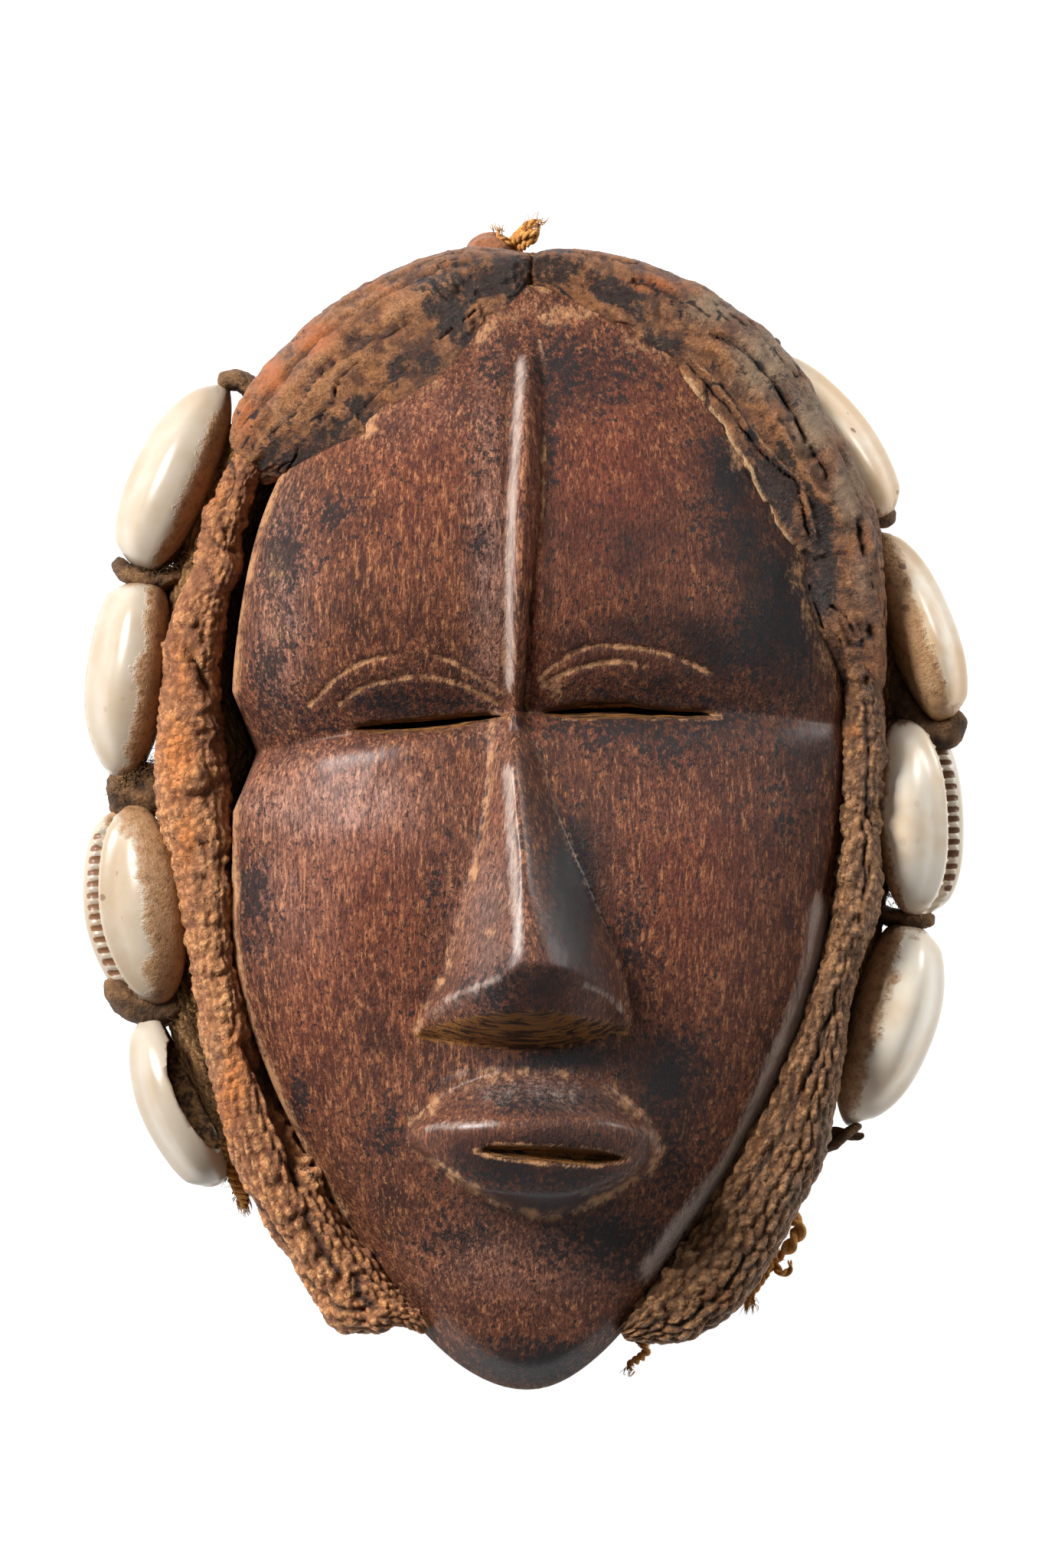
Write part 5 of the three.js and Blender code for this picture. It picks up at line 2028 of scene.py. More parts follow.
def right_plait() -> Plait:
    """The band down the right side, with rows of loops that grow towards the chin.

    Returns:
        The band's sizes and marks.
    """
    return Plait(
        "looped_plait_right", "right_plait",
        inner=((34.4, 16.4), (34.6, 10), (34.9, 4), (35, -4), (34.9, -9.4), (34.4, -13),
               (33.5, -17), (32.4, -21), (30.8, -25.1), (28.8, -29.3), (26.9, -33.4),
               (24.8, -37.6), (22.4, -41.7), (19, -45.9), (15.9, -50), (13.4, -54.2),
               (11.8, -56.6), (11.2, -57.6)),
        outer=((38.8, 16.6), (39.6, 12), (39.8, 6), (39, 0), (38.9, -8.5), (38.3, -12.7),
               (36.7, -17.4), (35.6, -21.4), (35, -25.1), (34.4, -29.3), (33.8, -33.4),
               (33, -37.6), (31.4, -41.7), (28.9, -46), (26.6, -50.4), (24.2, -54.2),
               (21.2, -57.2), (18.4, -58.5), (15.4, -59), (12.2, -58.8)),
        seed=240,
        creases=(
            Crease(((34.6, 14), (35.2, 9), (35.6, 3), (35.7, -4), (35.6, -11)), 0.55, 0.5),
            Crease(((37.4, 12), (37.6, 4), (37.3, -4), (37.2, -12)), 0.35, -0.35, 0.2),
            Crease(((34.4, -16), (32, -23.6), (28.6, -31), (24.6, -39), (19.6, -46)), 0.8, 0.5),
            Crease(((34.8, -19), (33.4, -24), (30.8, -30.6), (27.2, -38), (22.4, -45)), 0.4, -0.6),
            Crease(((20, -54.6), (17.4, -56.4), (14.6, -56.6)), 0.3, -0.5, 0.5),
            Crease(((24.4, -49), (22, -53), (19.6, -55)), 0.3, -0.4, 0.3),
        ),
        knobs=(Knob(14.8, -54.6, 1.0, 0.7), Knob(16.6, -51.6, 1.0, 0.6), Knob(18, -49, 0.9, 0.6),
               Knob(19.6, -52, 1.2, 0.5), Knob(36.4, 14, 1.2, 0.5), Knob(23, -44, 1.1, 0.5),
               Knob(18, -56.4, 1.6, 0.5), Knob(26, -40, 1.1, 0.5), Knob(28.6, -36, 1.1, 0.5)),
        black=rows_of((37.8, 12, 1.4, 3, 0.8), (36.6, 4, 1, 2, 0.7), (36.8, -6, 1.2, 2, 0.7),
            (34.4, -20, 1, 2, 0.7), (33.2, -28, 1.6, 1.8, 0.7), (29.8, -33, 1.4, 2, 0.6),
            (24, -42, 1.6, 3, 0.6), (17, -50, 2, 2.4, 0.6), (36, -14.4, 1, 2, 0.6),
            (35.4, 9, 0.8, 2, 0.6)),
        pale=rows_of((33, -36, 1.6, 5, 0.9), (29.6, -43, 1.8, 4, 0.8), (35.6, 0, 1, 6, 0.4),
            (24, -50, 1.8, 3, 0.6)),
        orange=rows_of((36.2, 7.6, 1, 1.4, 0.8), (30.4, -31.6, 1, 2, 0.8), (21.4, -53.6, 2, 1.6, 0.8),
            (26, -37.6, 1.2, 2.4, 0.6), (20, -48, 1, 3, 0.6)),
        loops_below=(-8, -30), loop_length=1.7, rows=22, loop_height=0.5,
        cleft=(0.15, 0.1))


# The right plait's finish has darker tones than the left's: painted shade on the side away from the key
# light.
LEFT_CRUST = Crust("plait_crust", ochre=tone(204, 138, 86), umber=tone(124, 74, 46),
                   light=tone(242, 190, 130), orange=tone(216, 130, 62), beaded=0.5)
RIGHT_CRUST = Crust("shaded_crust", ochre=tone(168, 118, 76), umber=tone(94, 62, 40),
                    light=tone(214, 168, 118), orange=tone(194, 116, 54), darkness=-0.01,
                    beaded=0.8)


# The fibre cap

def wall_line(carving: Carving, offset: Points, span: tuple[float, float]) -> Points:
    """The wood's outline grown outwards.

    Args:
        carving: The face.
        offset: How far it is grown, at even steps of the span.
        span: The first and last place along it, 0 at the crown and 1 at the crown again.

    Returns:
        Its points, as x and y.
    """
    line, away = carving.outline.close_line()
    where = np.round(np.linspace(span[0], span[1], len(offset)) * len(line)).astype(int)
    where = where % len(line)
    grown = line[where] + away[where] * offset[:, None]
    grown[:, 0] += 0.9 * carving.outline.notch(line[where])
    return grown


@dataclass(frozen=True)
class Tuft:
    """Loose hairs spread along a line."""

    start: Place
    end: Place
    spread: float
    count: int


@dataclass
class FibreCap:
    """The looped fibre band round the wood's wall, with its loose hairs."""

    carving: Carving = Carving()
    bottom_z: float = 0.8
    top_z: float = 18.0
    from_wall: float = -0.25
    span: tuple[float, float] = (-0.438, 0.438)
    widths: tuple[float, ...] = (6, 8, 9.4, 8.8, 9, 8, 6.2, 4, 4.2, 5.6, 6.8, 6.6, 6.4, 6.6, 5.8)
    loop_length: float = 1.9
    rows: int = 40
    loop_height: float = 0.5
    around: int = 130
    along: int = 500
    seed: int = 300
    tufts: tuple[Tuft, ...] = (
        Tuft((-36.4, 27, 18), (-41, 24.8, 18), 1.1, 210),
        Tuft((-36, 24, 18.4), (-37.4, 18, 18.4), 0.8, 120),
        Tuft((-40, 4, 18), (-43.6, 1.6, 17.6), 1.4, 300),
        Tuft((-39.6, 6, 18.4), (-39, -3, 18.4), 0.8, 150),
        Tuft((-37, -18, 18.2), (-35.6, -25, 18), 1.1, 240),
        Tuft((-35, -25, 18), (-32, -38, 17.4), 0.9, 240),
        Tuft((-31.6, -39, 16), (-30.4, -43, 14), 0.8, 75),
        Tuft((38.4, -8, 18), (42.6, -12.6, 17), 0.9, 90),
        Tuft((40.4, 10, 18.4), (42, 7, 18.2), 0.7, 75),
    )

    def build(self) -> bpy.types.Object:
        """Makes the band.

        Returns:
            The finished object.
        """
        stations = [(k / (len(self.widths) - 1), w) for k, w in enumerate(self.widths)]
        width = through(stations, np.linspace(0, 1, 300))
        middle = (self.bottom_z + self.top_z) / 2
        inner, outer = (at_height(wall_line(self.carving, offset, self.span), middle)
                        for offset in (np.full(300, self.from_wall), width + self.from_wall - 0.3))
        half = (self.top_z - self.bottom_z) / 2 - 0.3
        bar = Bar(inner, outer, half, half, ends=0.1, square=0.6)
        bm, turn, down = form_of(self.around, self.along, bar.place)
        band = finished(bm, "looped_band")
        points, normals = read_points(band.data), read_normals(band.data)
        uneven = 0.25 * layered_noise(points, 2, self.seed, 2)
        drift = 0.6 * lattice_noise(points, 6, self.seed + 1)
        stitch = loops(bar.part(down) * length_of(outer) / self.loop_length + uneven + drift,
                       turn * self.rows + uneven, 0.45)
        shown = 1 - bar.side(turn) < 0.9
        amount = self.loop_height * stitch * shown
        amount += 0.25 * layered_noise(points, 3, self.seed + 2, 3) * shown
        write_points(band.data, swollen(points, normals, amount))
        # The relief darkens the band between its loops in its finish: painted shade.
        keep_values(band, relief=0.2 + 0.7 * stitch)
        return band

    def hairs(self) -> bpy.types.Object:
        """Makes the loose hairs where the band shows between the shells and the plaits.

        Returns:
            The finished object.
        """
        rng = np.random.default_rng(self.seed)
        forms = []
        for tuft in self.tufts:
            start, end = np.array(tuft.start, dtype=float), np.array(tuft.end, dtype=float)
            for _ in range(tuft.count):
                root = start + (end - start) * rng.random() + rng.normal(0, tuft.spread / 2, 3)
                root[2] = min(root[2], start[2]) - 0.6
                reach = rng.normal(0, 1, 3) * (0.75, 0.75, 0.35)
                bend = rng.normal(0, 0.3, 3)
                forms.append(fibre(root, reach, bend, rng.uniform(0.08, 0.14)))
        return finished(joined(forms), "loose_hairs")


@dataclass(frozen=True)
class Fibre:
    """Dull brown plant fibre: darker between its loops, as painted shade, and lighter on them."""

    name: str = "looped_fibre"
    dark: Colour = tone(64, 46, 30)
    brown: Colour = tone(134, 96, 58)
    light: Colour = tone(190, 146, 94)

    def make(self) -> bpy.types.Material:
        """Makes the material.

        Returns:
            The material.
        """
        kit = ShaderKit(self.name)
        strands = kit.noise(0.28, detail=4, rough=0.7)
        clouds = kit.noise(2.6, detail=4, rough=0.65)
        relief = kit.stored("relief")
        # Painted shade between the loops.
        colour = kit.mixed((clouds * 0.5 + relief * 0.5).rising(0.2, 0.65), self.dark, self.brown)
        colour = kit.mixed((strands * 0.7 + relief * 0.3).rising(0.5, 0.72) * 0.8, colour, self.light)
        normal = kit.bump(strands, 0.3)
        return kit.finish(colour, 0.9, normal, Specular_IOR_Level=0.25)


# The cowrie shells

@dataclass
class Cowrie:
    """A cowrie whose back is cut off, so that it sits flat on the cap.

    In its own frame its cut back is at x 0, its toothed side is at x = height, and y runs along
    it. The taper says how much broader its end at +y is.
    """

    node: str
    back: tuple[float, float]
    faces_deg: float
    length: float
    height: float
    turn_deg: float
    taper: float
    stain: float
    wash: float
    seed: int
    broken: bool = False
    middle_z: float = 14.0
    width: float = 15.5
    slit_z: float = 0.15
    slit_half: float = 0.55
    slit_depth: float = 2.4
    cavity_at: Place = (1.8, -0.4, 0.0)
    cavity_radii: Place = (4.4, 9.0, 6.4)
    hole_at: Place = (-0.5, 0.1, 5.6)
    hole_radii: Place = (4.2, 7.7, 6.4)
    tooth_pitch: float = 1.25
    tooth_height: float = 0.32
    around: int = 84
    along: int = 108

    def place(self, turn: Points, down: Points) -> Points:
        """Its surface in its own frame, in mm.

        Args:
            turn: Places round it, from 0 to 1.
            down: Places along it, from 0 to 1.

        Returns:
            The points.
        """
        angle = 2 * math.pi * turn - 0.62 * np.sin(2 * math.pi * turn)
        end = -np.cos(math.pi * down)
        full = np.clip(1 - end**2, 0, 1) ** (0.5 - 1.4 * self.taper * end)
        cosine = np.cos(angle)
        high = self.height * (1 + 0.6 * self.taper * end)
        lumpy = 1 + 0.02 * np.sin(5 * end + self.seed) * (cosine > 0)
        x = (high * (0.5 - 0.1 * (1 - full))
             + high / 2 * full * np.sign(cosine) * np.abs(cosine) ** 0.75 * lumpy)
        y = self.length / 2 * end
        z = self.width / 2 * (1 + self.taper * end) * full * np.sin(angle)
        toothed = (cosine > 0) * smooth_step(1.0, 0.82, np.abs(end))
        apart = np.abs(z - self.slit_z)
        cut = self.slit_depth * smooth_step(1.3, self.slit_half, apart)
        ridge = np.cos(2 * math.pi * y / self.tooth_pitch)
        band = smooth_step(1.7, 1.2, apart) * smooth_step(0.3, 0.7, apart)
        teeth = self.tooth_height * ridge * band
        lip = 0.75 * faded(apart - 2.5, 1.0)
        return np.column_stack([x + (teeth + lip - cut) * toothed, y, z])

    def turned(self, local: Points) -> Points:
        """Points of the shell's own frame where they sit on the cap.

        Args:
            local: Points of its own frame, in mm.

        Returns:
            The same points on the cap.
        """
        tilt, face = math.radians(self.turn_deg), math.radians(self.faces_deg)
        x = local[:, 0] * math.cos(tilt) - local[:, 2] * math.sin(tilt)
        z = local[:, 0] * math.sin(tilt) + local[:, 2] * math.cos(tilt)
        y = local[:, 1]
        return np.column_stack([
            self.back[0] + x * math.cos(face) - y * math.sin(face),
            self.back[1] + x * math.sin(face) + y * math.cos(face), self.middle_z + z])

    def own(self, points: Points) -> Points:
        """Points on the cap in the shell's own frame.

        Args:
            points: Points on the cap, in mm.

        Returns:
            The same points in its own frame.
        """
        tilt, face = math.radians(self.turn_deg), math.radians(self.faces_deg)
        step = points - (*self.back, self.middle_z)
        x = step[:, 0] * math.cos(face) + step[:, 1] * math.sin(face)
        y = -step[:, 0] * math.sin(face) + step[:, 1] * math.cos(face)
        return np.column_stack([x * math.cos(tilt) + step[:, 2] * math.sin(tilt), y,
                                -x * math.sin(tilt) + step[:, 2] * math.cos(tilt)])

    def build(self) -> bpy.types.Object:
        """Makes the shell.

        Returns:
            The finished object.
        """
        bm, _, _ = form_of(self.around, self.along, lambda t, d: self.turned(self.place(t, d)))
        shell = finished(bm, self.node.replace("cowrie", "shell"))
        if self.broken:
            self.break_open(shell)
        self.mark(shell)
        return shell

    def break_open(self, shell: bpy.types.Object) -> None:
        """Hollows the shell and breaks a hole into its side.

        Args:
            shell: The shell.
        """
        def cavity(turn: Points, down: Points) -> Points:
            """The hollow, which is open at the cut back."""
            return self.turned(ball(turn, down) * self.cavity_radii + self.cavity_at)

        def hole(turn: Points, down: Points) -> Points:
            """The broken piece, with a ragged edge.

            Args:
                turn: Places round it, from 0 to 1.
                down: Places along it, from 0 to 1.

            Returns:
                The points, in mm.
            """
            plain = ball(turn, down)
            ragged = 1 + 0.09 * layered_noise(plain * 4, 1.3, self.seed, 3)
            return self.turned(plain * self.hole_radii * ragged[:, None] + self.hole_at)

        cut_away(shell, [finished(form_of(40, 40, form)[0], name)
                         for name, form in (("cut_cavity", cavity), ("cut_hole", hole))])

    def mark(self, shell: bpy.types.Object) -> None:
        """Stores where the stain, the dirt between the teeth and the hollow lie.

        Args:
            shell: The shell.
        """
        points = read_points(shell.data)
        local = self.own(points)
        x, y, z = local.T
        end = np.abs(y) / (self.length / 2)
        ragged = 0.13 * layered_noise(points, 2.6, self.seed, 4)
        stain = smooth_step(self.stain + 0.12, self.stain - 0.1, x / self.height + ragged)
        edge = faded(x / self.height + ragged - self.stain, 0.07)
        stain = np.maximum(stain, smooth_step(0.86, 1.0, end + ragged) * 0.7)
        front = smooth_step(0.72 * self.height, 0.86 * self.height, x)
        apart = np.abs(z - self.slit_z)
        ridge = 0.5 - 0.5 * np.cos(2 * math.pi * y / self.tooth_pitch)
        teeth = smooth_step(2.1, 1.5, apart) * front * smooth_step(0.35, 0.6, ridge)
        slit = smooth_step(1.15, 0.6, apart) * (x < self.height - 0.7) * (x > self.height - 3.4)
        dirt = np.maximum(teeth, slit * (end < 0.9))
        inside = 0.0
        if self.broken:
            reach = (local - self.cavity_at) / (np.array(self.cavity_radii) + 0.15)
            inside = smooth_step(1.0, 0.97, (reach**2).sum(axis=1))
        keep_values(shell, stain=stain, edge=edge, dirt=dirt, inside=inside, wash=self.wash)


SHELLS = (
    Cowrie("cowrie_left_1", (-33.5, 34.3), 158, 22.5, 8.4, 0, 0.14, 0.3, 0.1, 401),
    Cowrie("cowrie_left_2", (-38.6, 12.2), 172, 22.6, 8.4, 4, -0.14, 0.44, 0.15, 402),
    Cowrie("cowrie_left_3", (-37.6, -10.8), 188, 22.4, 9.3, 22, 0.0, 0.68, 0.6, 403),
    Cowrie("cowrie_left_4", (-34.2, -31.2), 203, 20.6, 7.2, 0, 0.06, 0.05, 0.1, 404, broken=True),
    Cowrie("cowrie_right_1", (30.7, 38.2), 35.5, 22.6, 7, 0, -0.12, 0.4, 0.9, 405),
    Cowrie("cowrie_right_2", (39.6, 18.3), 19.4, 22.5, 7.1, 0, -0.1, 0.6, 1.0, 406),
    Cowrie("cowrie_right_3", (39.7, -1.8), 3.2, 22.2, 7.8, 22, 0.0, 0.4, 0.1, 407),
    Cowrie("cowrie_right_4", (35.4, -23.3), -15.6, 23.1, 9.4, 0, 0.1, 0.42, 0.15, 408),
)


@dataclass(frozen=True)
class Shell:
    """Glossy ivory shell, stained brown where it meets the cap and dirty between its teeth."""

    name: str
    ivory: Colour
    cream: Colour
    tan: Colour = tone(158, 114, 70)
    brown: Colour = tone(92, 58, 32)
    dirt: Colour = tone(114, 74, 42)
    hollow: Colour = tone(40, 27, 18)

    def make(self) -> bpy.types.Material:
        """Makes the material.

        Returns:
            The material.
        """
        kit = ShaderKit(self.name)
        clouds = kit.noise(7, detail=3)
        speckle = kit.noise(1.1, detail=5, rough=0.7)
        fine = kit.noise(0.4, detail=3, rough=0.7)
        stain, dirt, inside = kit.stored("stain"), kit.stored("dirt"), kit.stored("inside")
        colour = kit.mixed(clouds.rising(0.4, 0.7) * 0.5, self.ivory, self.cream)
        colour = kit.mixed(kit.stored("wash") * clouds.rising(0.2, 0.6) * 0.8, colour, self.cream)
        stained = (stain * 0.9 + (speckle - 0.5) * 1.1 + (fine - 0.5) * 0.5).rising(0.25, 0.85)
        colour = kit.mixed(stained * 0.85, colour, self.tan)
        deep = (stain * 0.6 + kit.stored("edge") * 0.12 + (speckle - 0.5) * 1.5
                + (fine - 0.5) * 0.6).rising(0.5, 0.95)
        colour = kit.mixed(deep * 0.75, colour, self.brown)
        colour = kit.mixed((dirt + (fine - 0.5) * 0.5).rising(0.3, 0.6), colour, self.dirt)
        spots = (kit.cells(3.0) + (fine - 0.5) * 0.14).rising(0.17, 0.12) * kit.stored("wash")
        colour = kit.mixed(spots * clouds.rising(0.48, 0.52), colour, self.brown)
        lining = kit.mixed(speckle.rising(0.4, 0.65), self.hollow, self.tan)
        colour = kit.mixed(inside, colour, lining)
        rough = 0.31 + stained * 0.3 + dirt * 0.4 + inside * 0.6 + (fine - 0.5) * 0.08
        normal = kit.bump(fine * stained + speckle * stained * 0.6 + speckle * 0.12, 0.14)
        return kit.finish(colour, rough.clamped(), normal, Specular_IOR_Level=0.55,
                          Coat_Weight=0.25, Coat_Roughness=0.24)


# The shells of the side that the light reaches are toned down, and the others toned up
LIT_SHELL = Shell("lit_shell", tone(176, 163, 146), tone(160, 136, 106))
SHADED_SHELL = Shell("shaded_shell", tone(250, 240, 222), tone(222, 182, 132),
                     tan=tone(184, 134, 84), brown=tone(120, 78, 44))


# The ties, the knot and the yarn

@dataclass
class HideTie:
    """A folded strip of hide between two shells."""

    node: str
    route: Line
    seed: int
    cord: bool = False
    middle_z: float = 13.4
    high: float = 8.4
    thick: float = 2.0

    def build(self) -> bpy.types.Object:
        """Makes the tie.

        Returns:
            The finished object.
        """
        name = self.node.replace("tie", "hide_tie")
        if self.cord:
            route = [(x, y, self.middle_z + 1.5) for x, y in self.route]
            cord = finished(joined(Strand(route, 2.5, 2, 1.0, 0.1, 28, 90).forms()), name)
            self.rough_up(cord, 0.12)
            return cord
        line = curve(self.route, 60)
        off = beside(line) * self.thick / 2
        inner, outer = (at_height(edge, self.middle_z) for edge in (line - off, line + off))
        bar = Bar(inner, outer, self.high / 2, self.high / 2, ends=0.25, square=0.8)
        bm, _, _ = form_of(64, 96, bar.place)
        tie = finished(bm, name)
        self.rough_up(tie, 0.3)
        return tie

    def rough_up(self, tie: bpy.types.Object, folds: float) -> None:
        """Folds and roughens the hide.

        Args:
            tie: The tie.
            folds: How far its folds stand out, in mm.
        """
        points, normals = read_points(tie.data), read_normals(tie.data)
        high = layered_noise(points * (1, 1, 0.4), 1.6, self.seed, 3)
        amount = folds * high
        amount += 0.3 * folds * layered_noise(points, 0.5, self.seed + 1, 2)
        write_points(tie.data, swollen(points, normals, amount))
        keep_values(tie, relief=0.5 + 0.6 * high)


TIES = (
    HideTie("tie_left_1", ((-28, 44), (-30.6, 45.8), (-33, 46)), 501, thick=2.4),
    HideTie("tie_left_2", ((-36, 25), (-39.6, 24.2), (-42.6, 24.8), (-44.4, 26.4)), 502, thick=2.4),
    HideTie("tie_left_3", ((-38, 1.8), (-41.4, 1.2), (-45.2, 0.8)), 503, thick=6.0),
    HideTie("tie_left_4", ((-35.6, -21.4), (-39.4, -22.8), (-42.8, -22), (-44.8, -19.2)), 504,
            thick=3.6),
    HideTie("tie_right_1", ((24.8, 48.2), (27, 49.6), (28.4, 49.8)), 505),
    HideTie("tie_right_2", ((36, 30.2), (38.6, 31.2), (41, 31.2)), 506, thick=2.8),
    HideTie("tie_right_3", ((40, 14.6), (41, 11.4), (43.2, 8.2), (46, 7.2), (48.2, 9.6)), 507,
            thick=3.8),
    HideTie("tie_right_4", ((37.6, -12), (41.4, -12.8), (45.2, -13)), 508, thick=2.2),
    HideTie("tie_right_5", ((30.8, -38.6), (32.4, -38), (34.2, -36.7), (37.4, -35.9)), 509, True),
)


@dataclass(frozen=True)
class Hide:
    """Dark brown hide or dull yarn, lighter on its folds."""

    name: str
    dark: Colour
    brown: Colour
    light: Colour
    rough: float

    def make(self) -> bpy.types.Material:
        """Makes the material.

        Returns:
            The material.
        """
        kit = ShaderKit(self.name)
        grain = kit.noise(0.35, detail=4, rough=0.7)
        clouds = kit.noise(1.6, detail=4, rough=0.6)
        relief = kit.stored("relief")
        colour = kit.mixed((clouds * 0.6 + relief * 0.4).rising(0.3, 0.62), self.dark, self.brown)
        colour = kit.mixed((grain * 0.7 + relief * 0.3).rising(0.5, 0.7) * 0.7, colour, self.light)
        return kit.finish(colour, self.rough, kit.bump(grain + clouds * 0.5, 0.4),
                          Specular_IOR_Level=0.3)


FOLDED_HIDE = Hide("folded_hide", tone(56, 40, 28), tone(110, 78, 50), tone(164, 124, 82), 0.75)
LOOSE_FIBRE = Hide("loose_fibre", tone(96, 68, 40), tone(160, 116, 70), tone(204, 160, 106), 0.9)
OCHRE_YARN = Hide("ochre_yarn", tone(172, 112, 54), tone(226, 162, 86), tone(246, 198, 128), 0.9)


@dataclass
class YarnEnd:
    """A loose end of yarn: its twisted strands and its frayed hairs."""

    node: str
    strands: tuple[Strand, ...]
    frays: tuple[tuple[Place, Place, int], ...]
    seed: int

    def build(self) -> bpy.types.Object:
        """Makes the yarn.

        Returns:
            The finished object.
        """
        rng = np.random.default_rng(self.seed)
        forms = [form for strand in self.strands for form in strand.forms()]
        for root, reach, count in self.frays:
            for _ in range(count):
                start = np.array(root) + rng.normal(0, 0.28, 3)
                way = np.array(reach) * rng.uniform(0.5, 1.1) + rng.normal(0, 0.4, 3)
                forms.append(fibre(start, way, rng.normal(0, 0.25, 3), rng.uniform(0.09, 0.16)))
        yarn = finished(joined(forms), self.node.replace("yarn", "yarn_end"))
        points = read_points(yarn.data)
        keep_values(yarn, relief=0.5 + 0.4 * layered_noise(points, 0.7, self.seed, 2))
        return yarn


YARN_ENDS = (
    YarnEnd("crown_yarn", (
        Strand(((-1.4, 60, 14), (-0.2, 61.6, 15.4), (1, 62.9, 16.4), (2, 63.2, 16)), 1.7, 3, 2.0),
        Strand(((-1.8, 60.2, 14), (-0.4, 61.4, 15.8), (1.2, 62, 16.6), (2, 62.4, 16)), 1.4, 3, 2.2),
        Strand(((-1, 60, 15), (-1.4, 61, 16), (-2.4, 61.6, 16.2), (-2.5, 62.4, 16)), 1.0, 2, 2.0),
        Strand(((-0.6, 60, 14), (0.4, 60.8, 15.6), (1.4, 61.4, 16), (1.9, 62.6, 15.4)), 1.4, 3, 2.0),
    ), (((-2.5, 62.2, 16), (-0.4, 0.6, 0.1), 24), ((1.8, 63, 16), (0.4, 0.3, 0), 40),
        ((0.6, 62.3, 16.2), (0.3, 0.6, 0.3), 60)), 601),
    YarnEnd("left_yarn", (
        Strand(((-32.4, -36.4, 14), (-31.4, -40.4, 14.6), (-30.6, -42.6, 14.2), (-30, -44.4, 13)),
               2.2, 3),
        Strand(((-30.6, -38.6, 14), (-30.6, -41, 14), (-31.4, -43, 13)), 1.2, 2),
    ), (((-31, -40.4, 13.8), (-0.2, -1.4, 0.4), 160), ((-30.4, -43, 13), (0.3, -1.8, 0), 110),
        ((-31.4, -39, 14), (-0.6, -0.6, 0.5), 60)), 602),
    YarnEnd("right_yarn", (
        Strand(((28.6, -44.6, 12), (30.4, -46.4, 12.4), (29.6, -48.4, 12.4), (28, -50, 12)), 1.9, 2,
               2.0, 0.2),
        Strand(((28.4, -49.2, 12), (27, -51, 12.4), (25.8, -53, 12.4), (24.8, -54.6, 12)), 1.5, 3,
               2.4),
        Strand(((27.8, -50.4, 12), (28.4, -51.6, 13), (29.4, -51.2, 13), (29.4, -50.1, 12.6)), 1.1,
               2, 1.6),
        Strand(((28, -49.4, 12.6), (27.2, -50.6, 13), (26.4, -51.6, 12.6)), 1.2, 2, 1.6),
    ), (((25, -54, 12), (-0.3, -1.6, 0), 90), ((26.4, -51.6, 12.6), (-0.6, -0.6, 0.3), 60),
        ((27.8, -50, 12.6), (0.3, 0.2, 0.3), 30)), 603),
    YarnEnd("chin_yarn", (
        Strand(((12.4, -57.6, 11), (13.3, -59, 11.6), (13.7, -60.2, 11.6), (12.9, -61, 11),
                (12.1, -61.5, 10.6), (11.9, -62.3, 10.2)), 1.1, 2, 4.0, 0.1),
        Strand(((12, -57.4, 11), (12.6, -58.8, 11.4), (13.1, -59.6, 11.2)), 0.8, 2, 2.0),
    ), (((12, -62, 10.4), (0, -0.5, 0), 16), ((13.2, -59.4, 11.4), (0.5, 0, 0.1), 20)), 604),
)


@dataclass
class CrownKnot:
    """The round knot at the crown, with a coil of crusted yarn round it."""

    at: Place = (-3.2, 59.9, 14.2)
    radii: Place = (2.7, 2.1, 3.6)
    seed: int = 610

    def build(self) -> bpy.types.Object:
        """Makes the knot.

        Returns:
            The finished object.
        """
        def place(turn: Points, down: Points) -> Points:
            """The knot's surface.

            Args:
                turn: Places round it, from 0 to 1.
                down: Places along it, from 0 to 1.

            Returns:
                The points, in mm.
            """
            upright = ball(turn, down)[:, [0, 2, 1]]
            full = np.linalg.norm(upright[:, :2], axis=1)
            coil = 1 + 0.045 * np.sin(2 * math.pi * (4 * down + turn)) * full
            lumps = 1 + 0.09 * layered_noise(upright, 0.9, self.seed, 3)
            return np.array(self.at) + upright * self.radii * (coil * lumps)[:, None]

        bm, _, _ = form_of(64, 64, place)
        knot = finished(bm, "wound_knot")
        points = read_points(knot.data)
        noise = layered_noise(points, 1.1, self.seed + 1, 3)
        keep_values(knot, relief=0.5 + 0.5 * noise, orange=0.7, black=0, pale=0, dust=0, crack=0)
        return knot


# The setting

@dataclass(frozen=True)
class Lamp:
    """A soft round light that points at the mask: its place and size in metres, its power in W."""

    name: str
    at: Place
    size: float
    power: float


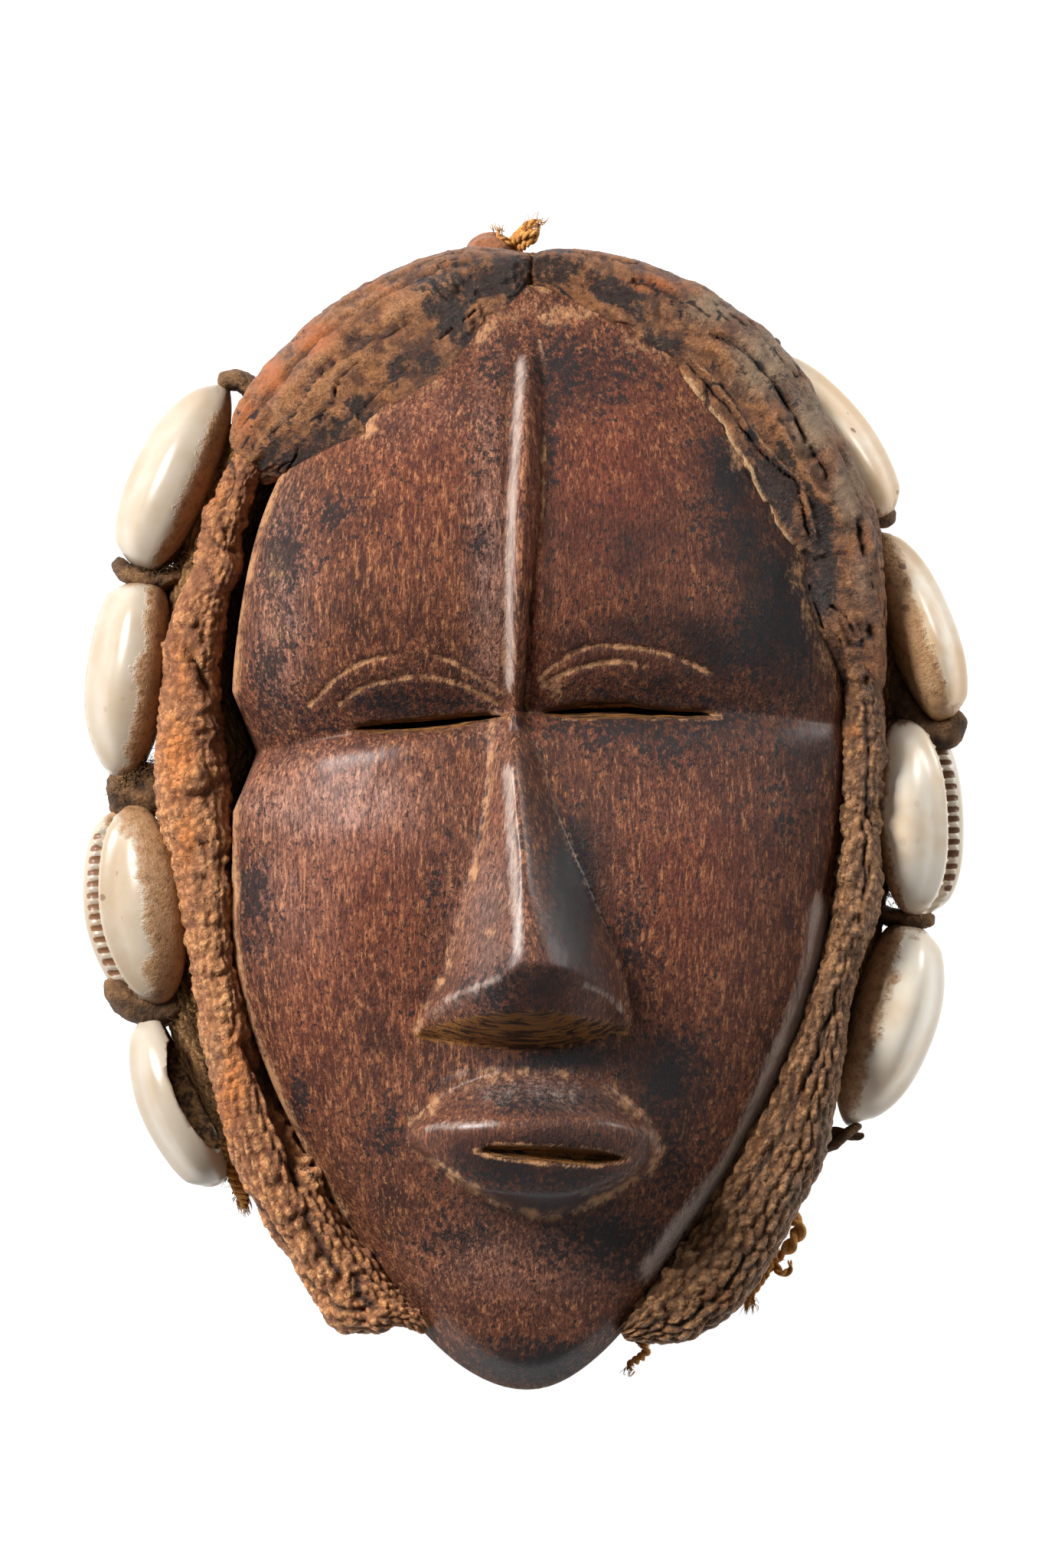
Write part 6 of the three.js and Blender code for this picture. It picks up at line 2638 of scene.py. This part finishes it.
@dataclass
class Setting:
    """The pale floor, the soft lights and the camera over the lying mask."""

    camera_at: Place = (0.0002, 0.0019, 1.525)
    middle_z: float = 0.025  # the height at which the photograph's scale holds
    film: float = 36.0
    sky_strength: float = 0.14
    floor_half: float = 1.5
    floor_tones: tuple[Colour, Colour] = (tone(150, 150, 149), tone(154, 154, 153))
    floor_glow: float = 0.97
    unlit_half: tuple[float, float] = (31, 58)  # mm; the oval under the mask doesn't glow
    lamps: tuple[Lamp, ...] = (
        Lamp("key", (-0.60, 0.42, 0.56), 0.40, 17.0),
        Lamp("side", (0.80, 0.42, 0.16), 0.30, 3.4),
    )

    def build(self) -> None:
        """Makes the camera, the lights, the sky and the floor."""
        self.camera()
        self.lights()
        self.sky()
        self.floor()

    def camera(self) -> None:
        """Puts the camera straight above the mask, at the photograph's framing."""
        shown = PHOTO_HEIGHT * PHOTO_PIXEL * MM
        data = bpy.data.cameras.new("camera")
        data.sensor_fit = "VERTICAL"
        data.sensor_height = self.film
        data.sensor_width = self.film * PHOTO_WIDTH / PHOTO_HEIGHT
        data.lens = self.film * (self.camera_at[2] - self.middle_z) / shown
        camera = bpy.data.objects.new("camera", data)
        camera.location = self.camera_at
        bpy.context.scene.collection.objects.link(camera)
        bpy.context.scene.camera = camera

    def lights(self) -> None:
        """Makes the key light from the upper left and a weak one from the right."""
        for lamp in self.lamps:
            data = bpy.data.lights.new(lamp.name, "AREA")
            data.shape = "DISK"
            data.size = lamp.size
            data.energy = lamp.power
            light = bpy.data.objects.new(lamp.name, data)
            light.location = lamp.at
            light.rotation_euler = (-light.location).to_track_quat("-Z", "Y").to_euler()
            bpy.context.scene.collection.objects.link(light)

    def sky(self) -> None:
        """Makes the even white surroundings."""
        world = bpy.data.worlds.new("studio")
        world.use_nodes = True
        world.node_tree.nodes["Background"].inputs["Color"].default_value = (1, 1, 1, 1)
        world.node_tree.nodes["Background"].inputs["Strength"].default_value = self.sky_strength
        bpy.context.scene.world = world
        bpy.context.scene.view_settings.view_transform = "Standard"

    def floor(self) -> None:
        """Makes the pale floor that the mask lies on."""
        kit = ShaderKit("pale_floor")
        faint = kit.noise(900, detail=1)
        colour = kit.mixed(faint, *self.floor_tones)
        inputs = {0: kit.stretched((1 / self.unlit_half[0], 1 / self.unlit_half[1], 0))}
        far = kit.node("ShaderNodeVectorMath", {"operation": "LENGTH"}, inputs)["Value"]
        glow = kit.mixed(far.rising(0.98, 1.04), (0.0, 0.0, 0.0), (1.0, 1.0, 1.0))
        kit.finish(colour, 0.9, Emission_Color=glow, Emission_Strength=self.floor_glow)
        bm = bmesh.new()
        bmesh.ops.create_grid(bm, x_segments=1, y_segments=1, size=self.floor_half)
        floor = finished(bm, "floor")
        floor.data.materials.append(kit.material)


def dress(piece: bpy.types.Object, material: bpy.types.Material,
          nodes: Sequence[str]) -> None:
    """Gives a piece its finish and its place in the model.

    Args:
        piece: The piece.
        material: Its finish.
        nodes: The CAD nodes that it stands for.
    """
    piece.data.materials.clear()
    piece.data.materials.append(material)
    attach(piece, "root")
    if nodes:
        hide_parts(*nodes)
    log.info("%s: %d faces", piece.name, len(piece.data.polygons))


def main() -> None:
    """Builds the setting and the mask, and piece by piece."""
    logging.basicConfig(level=logging.INFO, format="%(name)s: %(message)s")
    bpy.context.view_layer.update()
    Setting().build()
    dress(WoodenFace().build(), CarvedWood().make(), ["wooden_face"])
    crust = Crust(shine=0.05).make()
    for roll in (left_roll(), right_roll()):
        dress(roll.build(), crust, [roll.node])
    for plait, finish in ((left_plait(), LEFT_CRUST), (right_plait(), RIGHT_CRUST)):
        dress(plait.build(), finish.make(), [plait.node])
    cap = FibreCap()
    dress(cap.build(), Fibre().make(), ["fibre_cap"])
    dress(cap.hairs(), LOOSE_FIBRE.make(), [])
    lit, shaded = LIT_SHELL.make(), SHADED_SHELL.make()
    for cowrie in SHELLS:
        dress(cowrie.build(), lit if cowrie.back[0] < 0 else shaded, [cowrie.node])
    hide = FOLDED_HIDE.make()
    for tie in TIES:
        dress(tie.build(), hide, [tie.node])
    dress(CrownKnot().build(), crust, ["crown_knot"])
    yarn = OCHRE_YARN.make()
    for end in YARN_ENDS:
        dress(end.build(), yarn, [end.node])


if __name__ == "__main__":
    main()
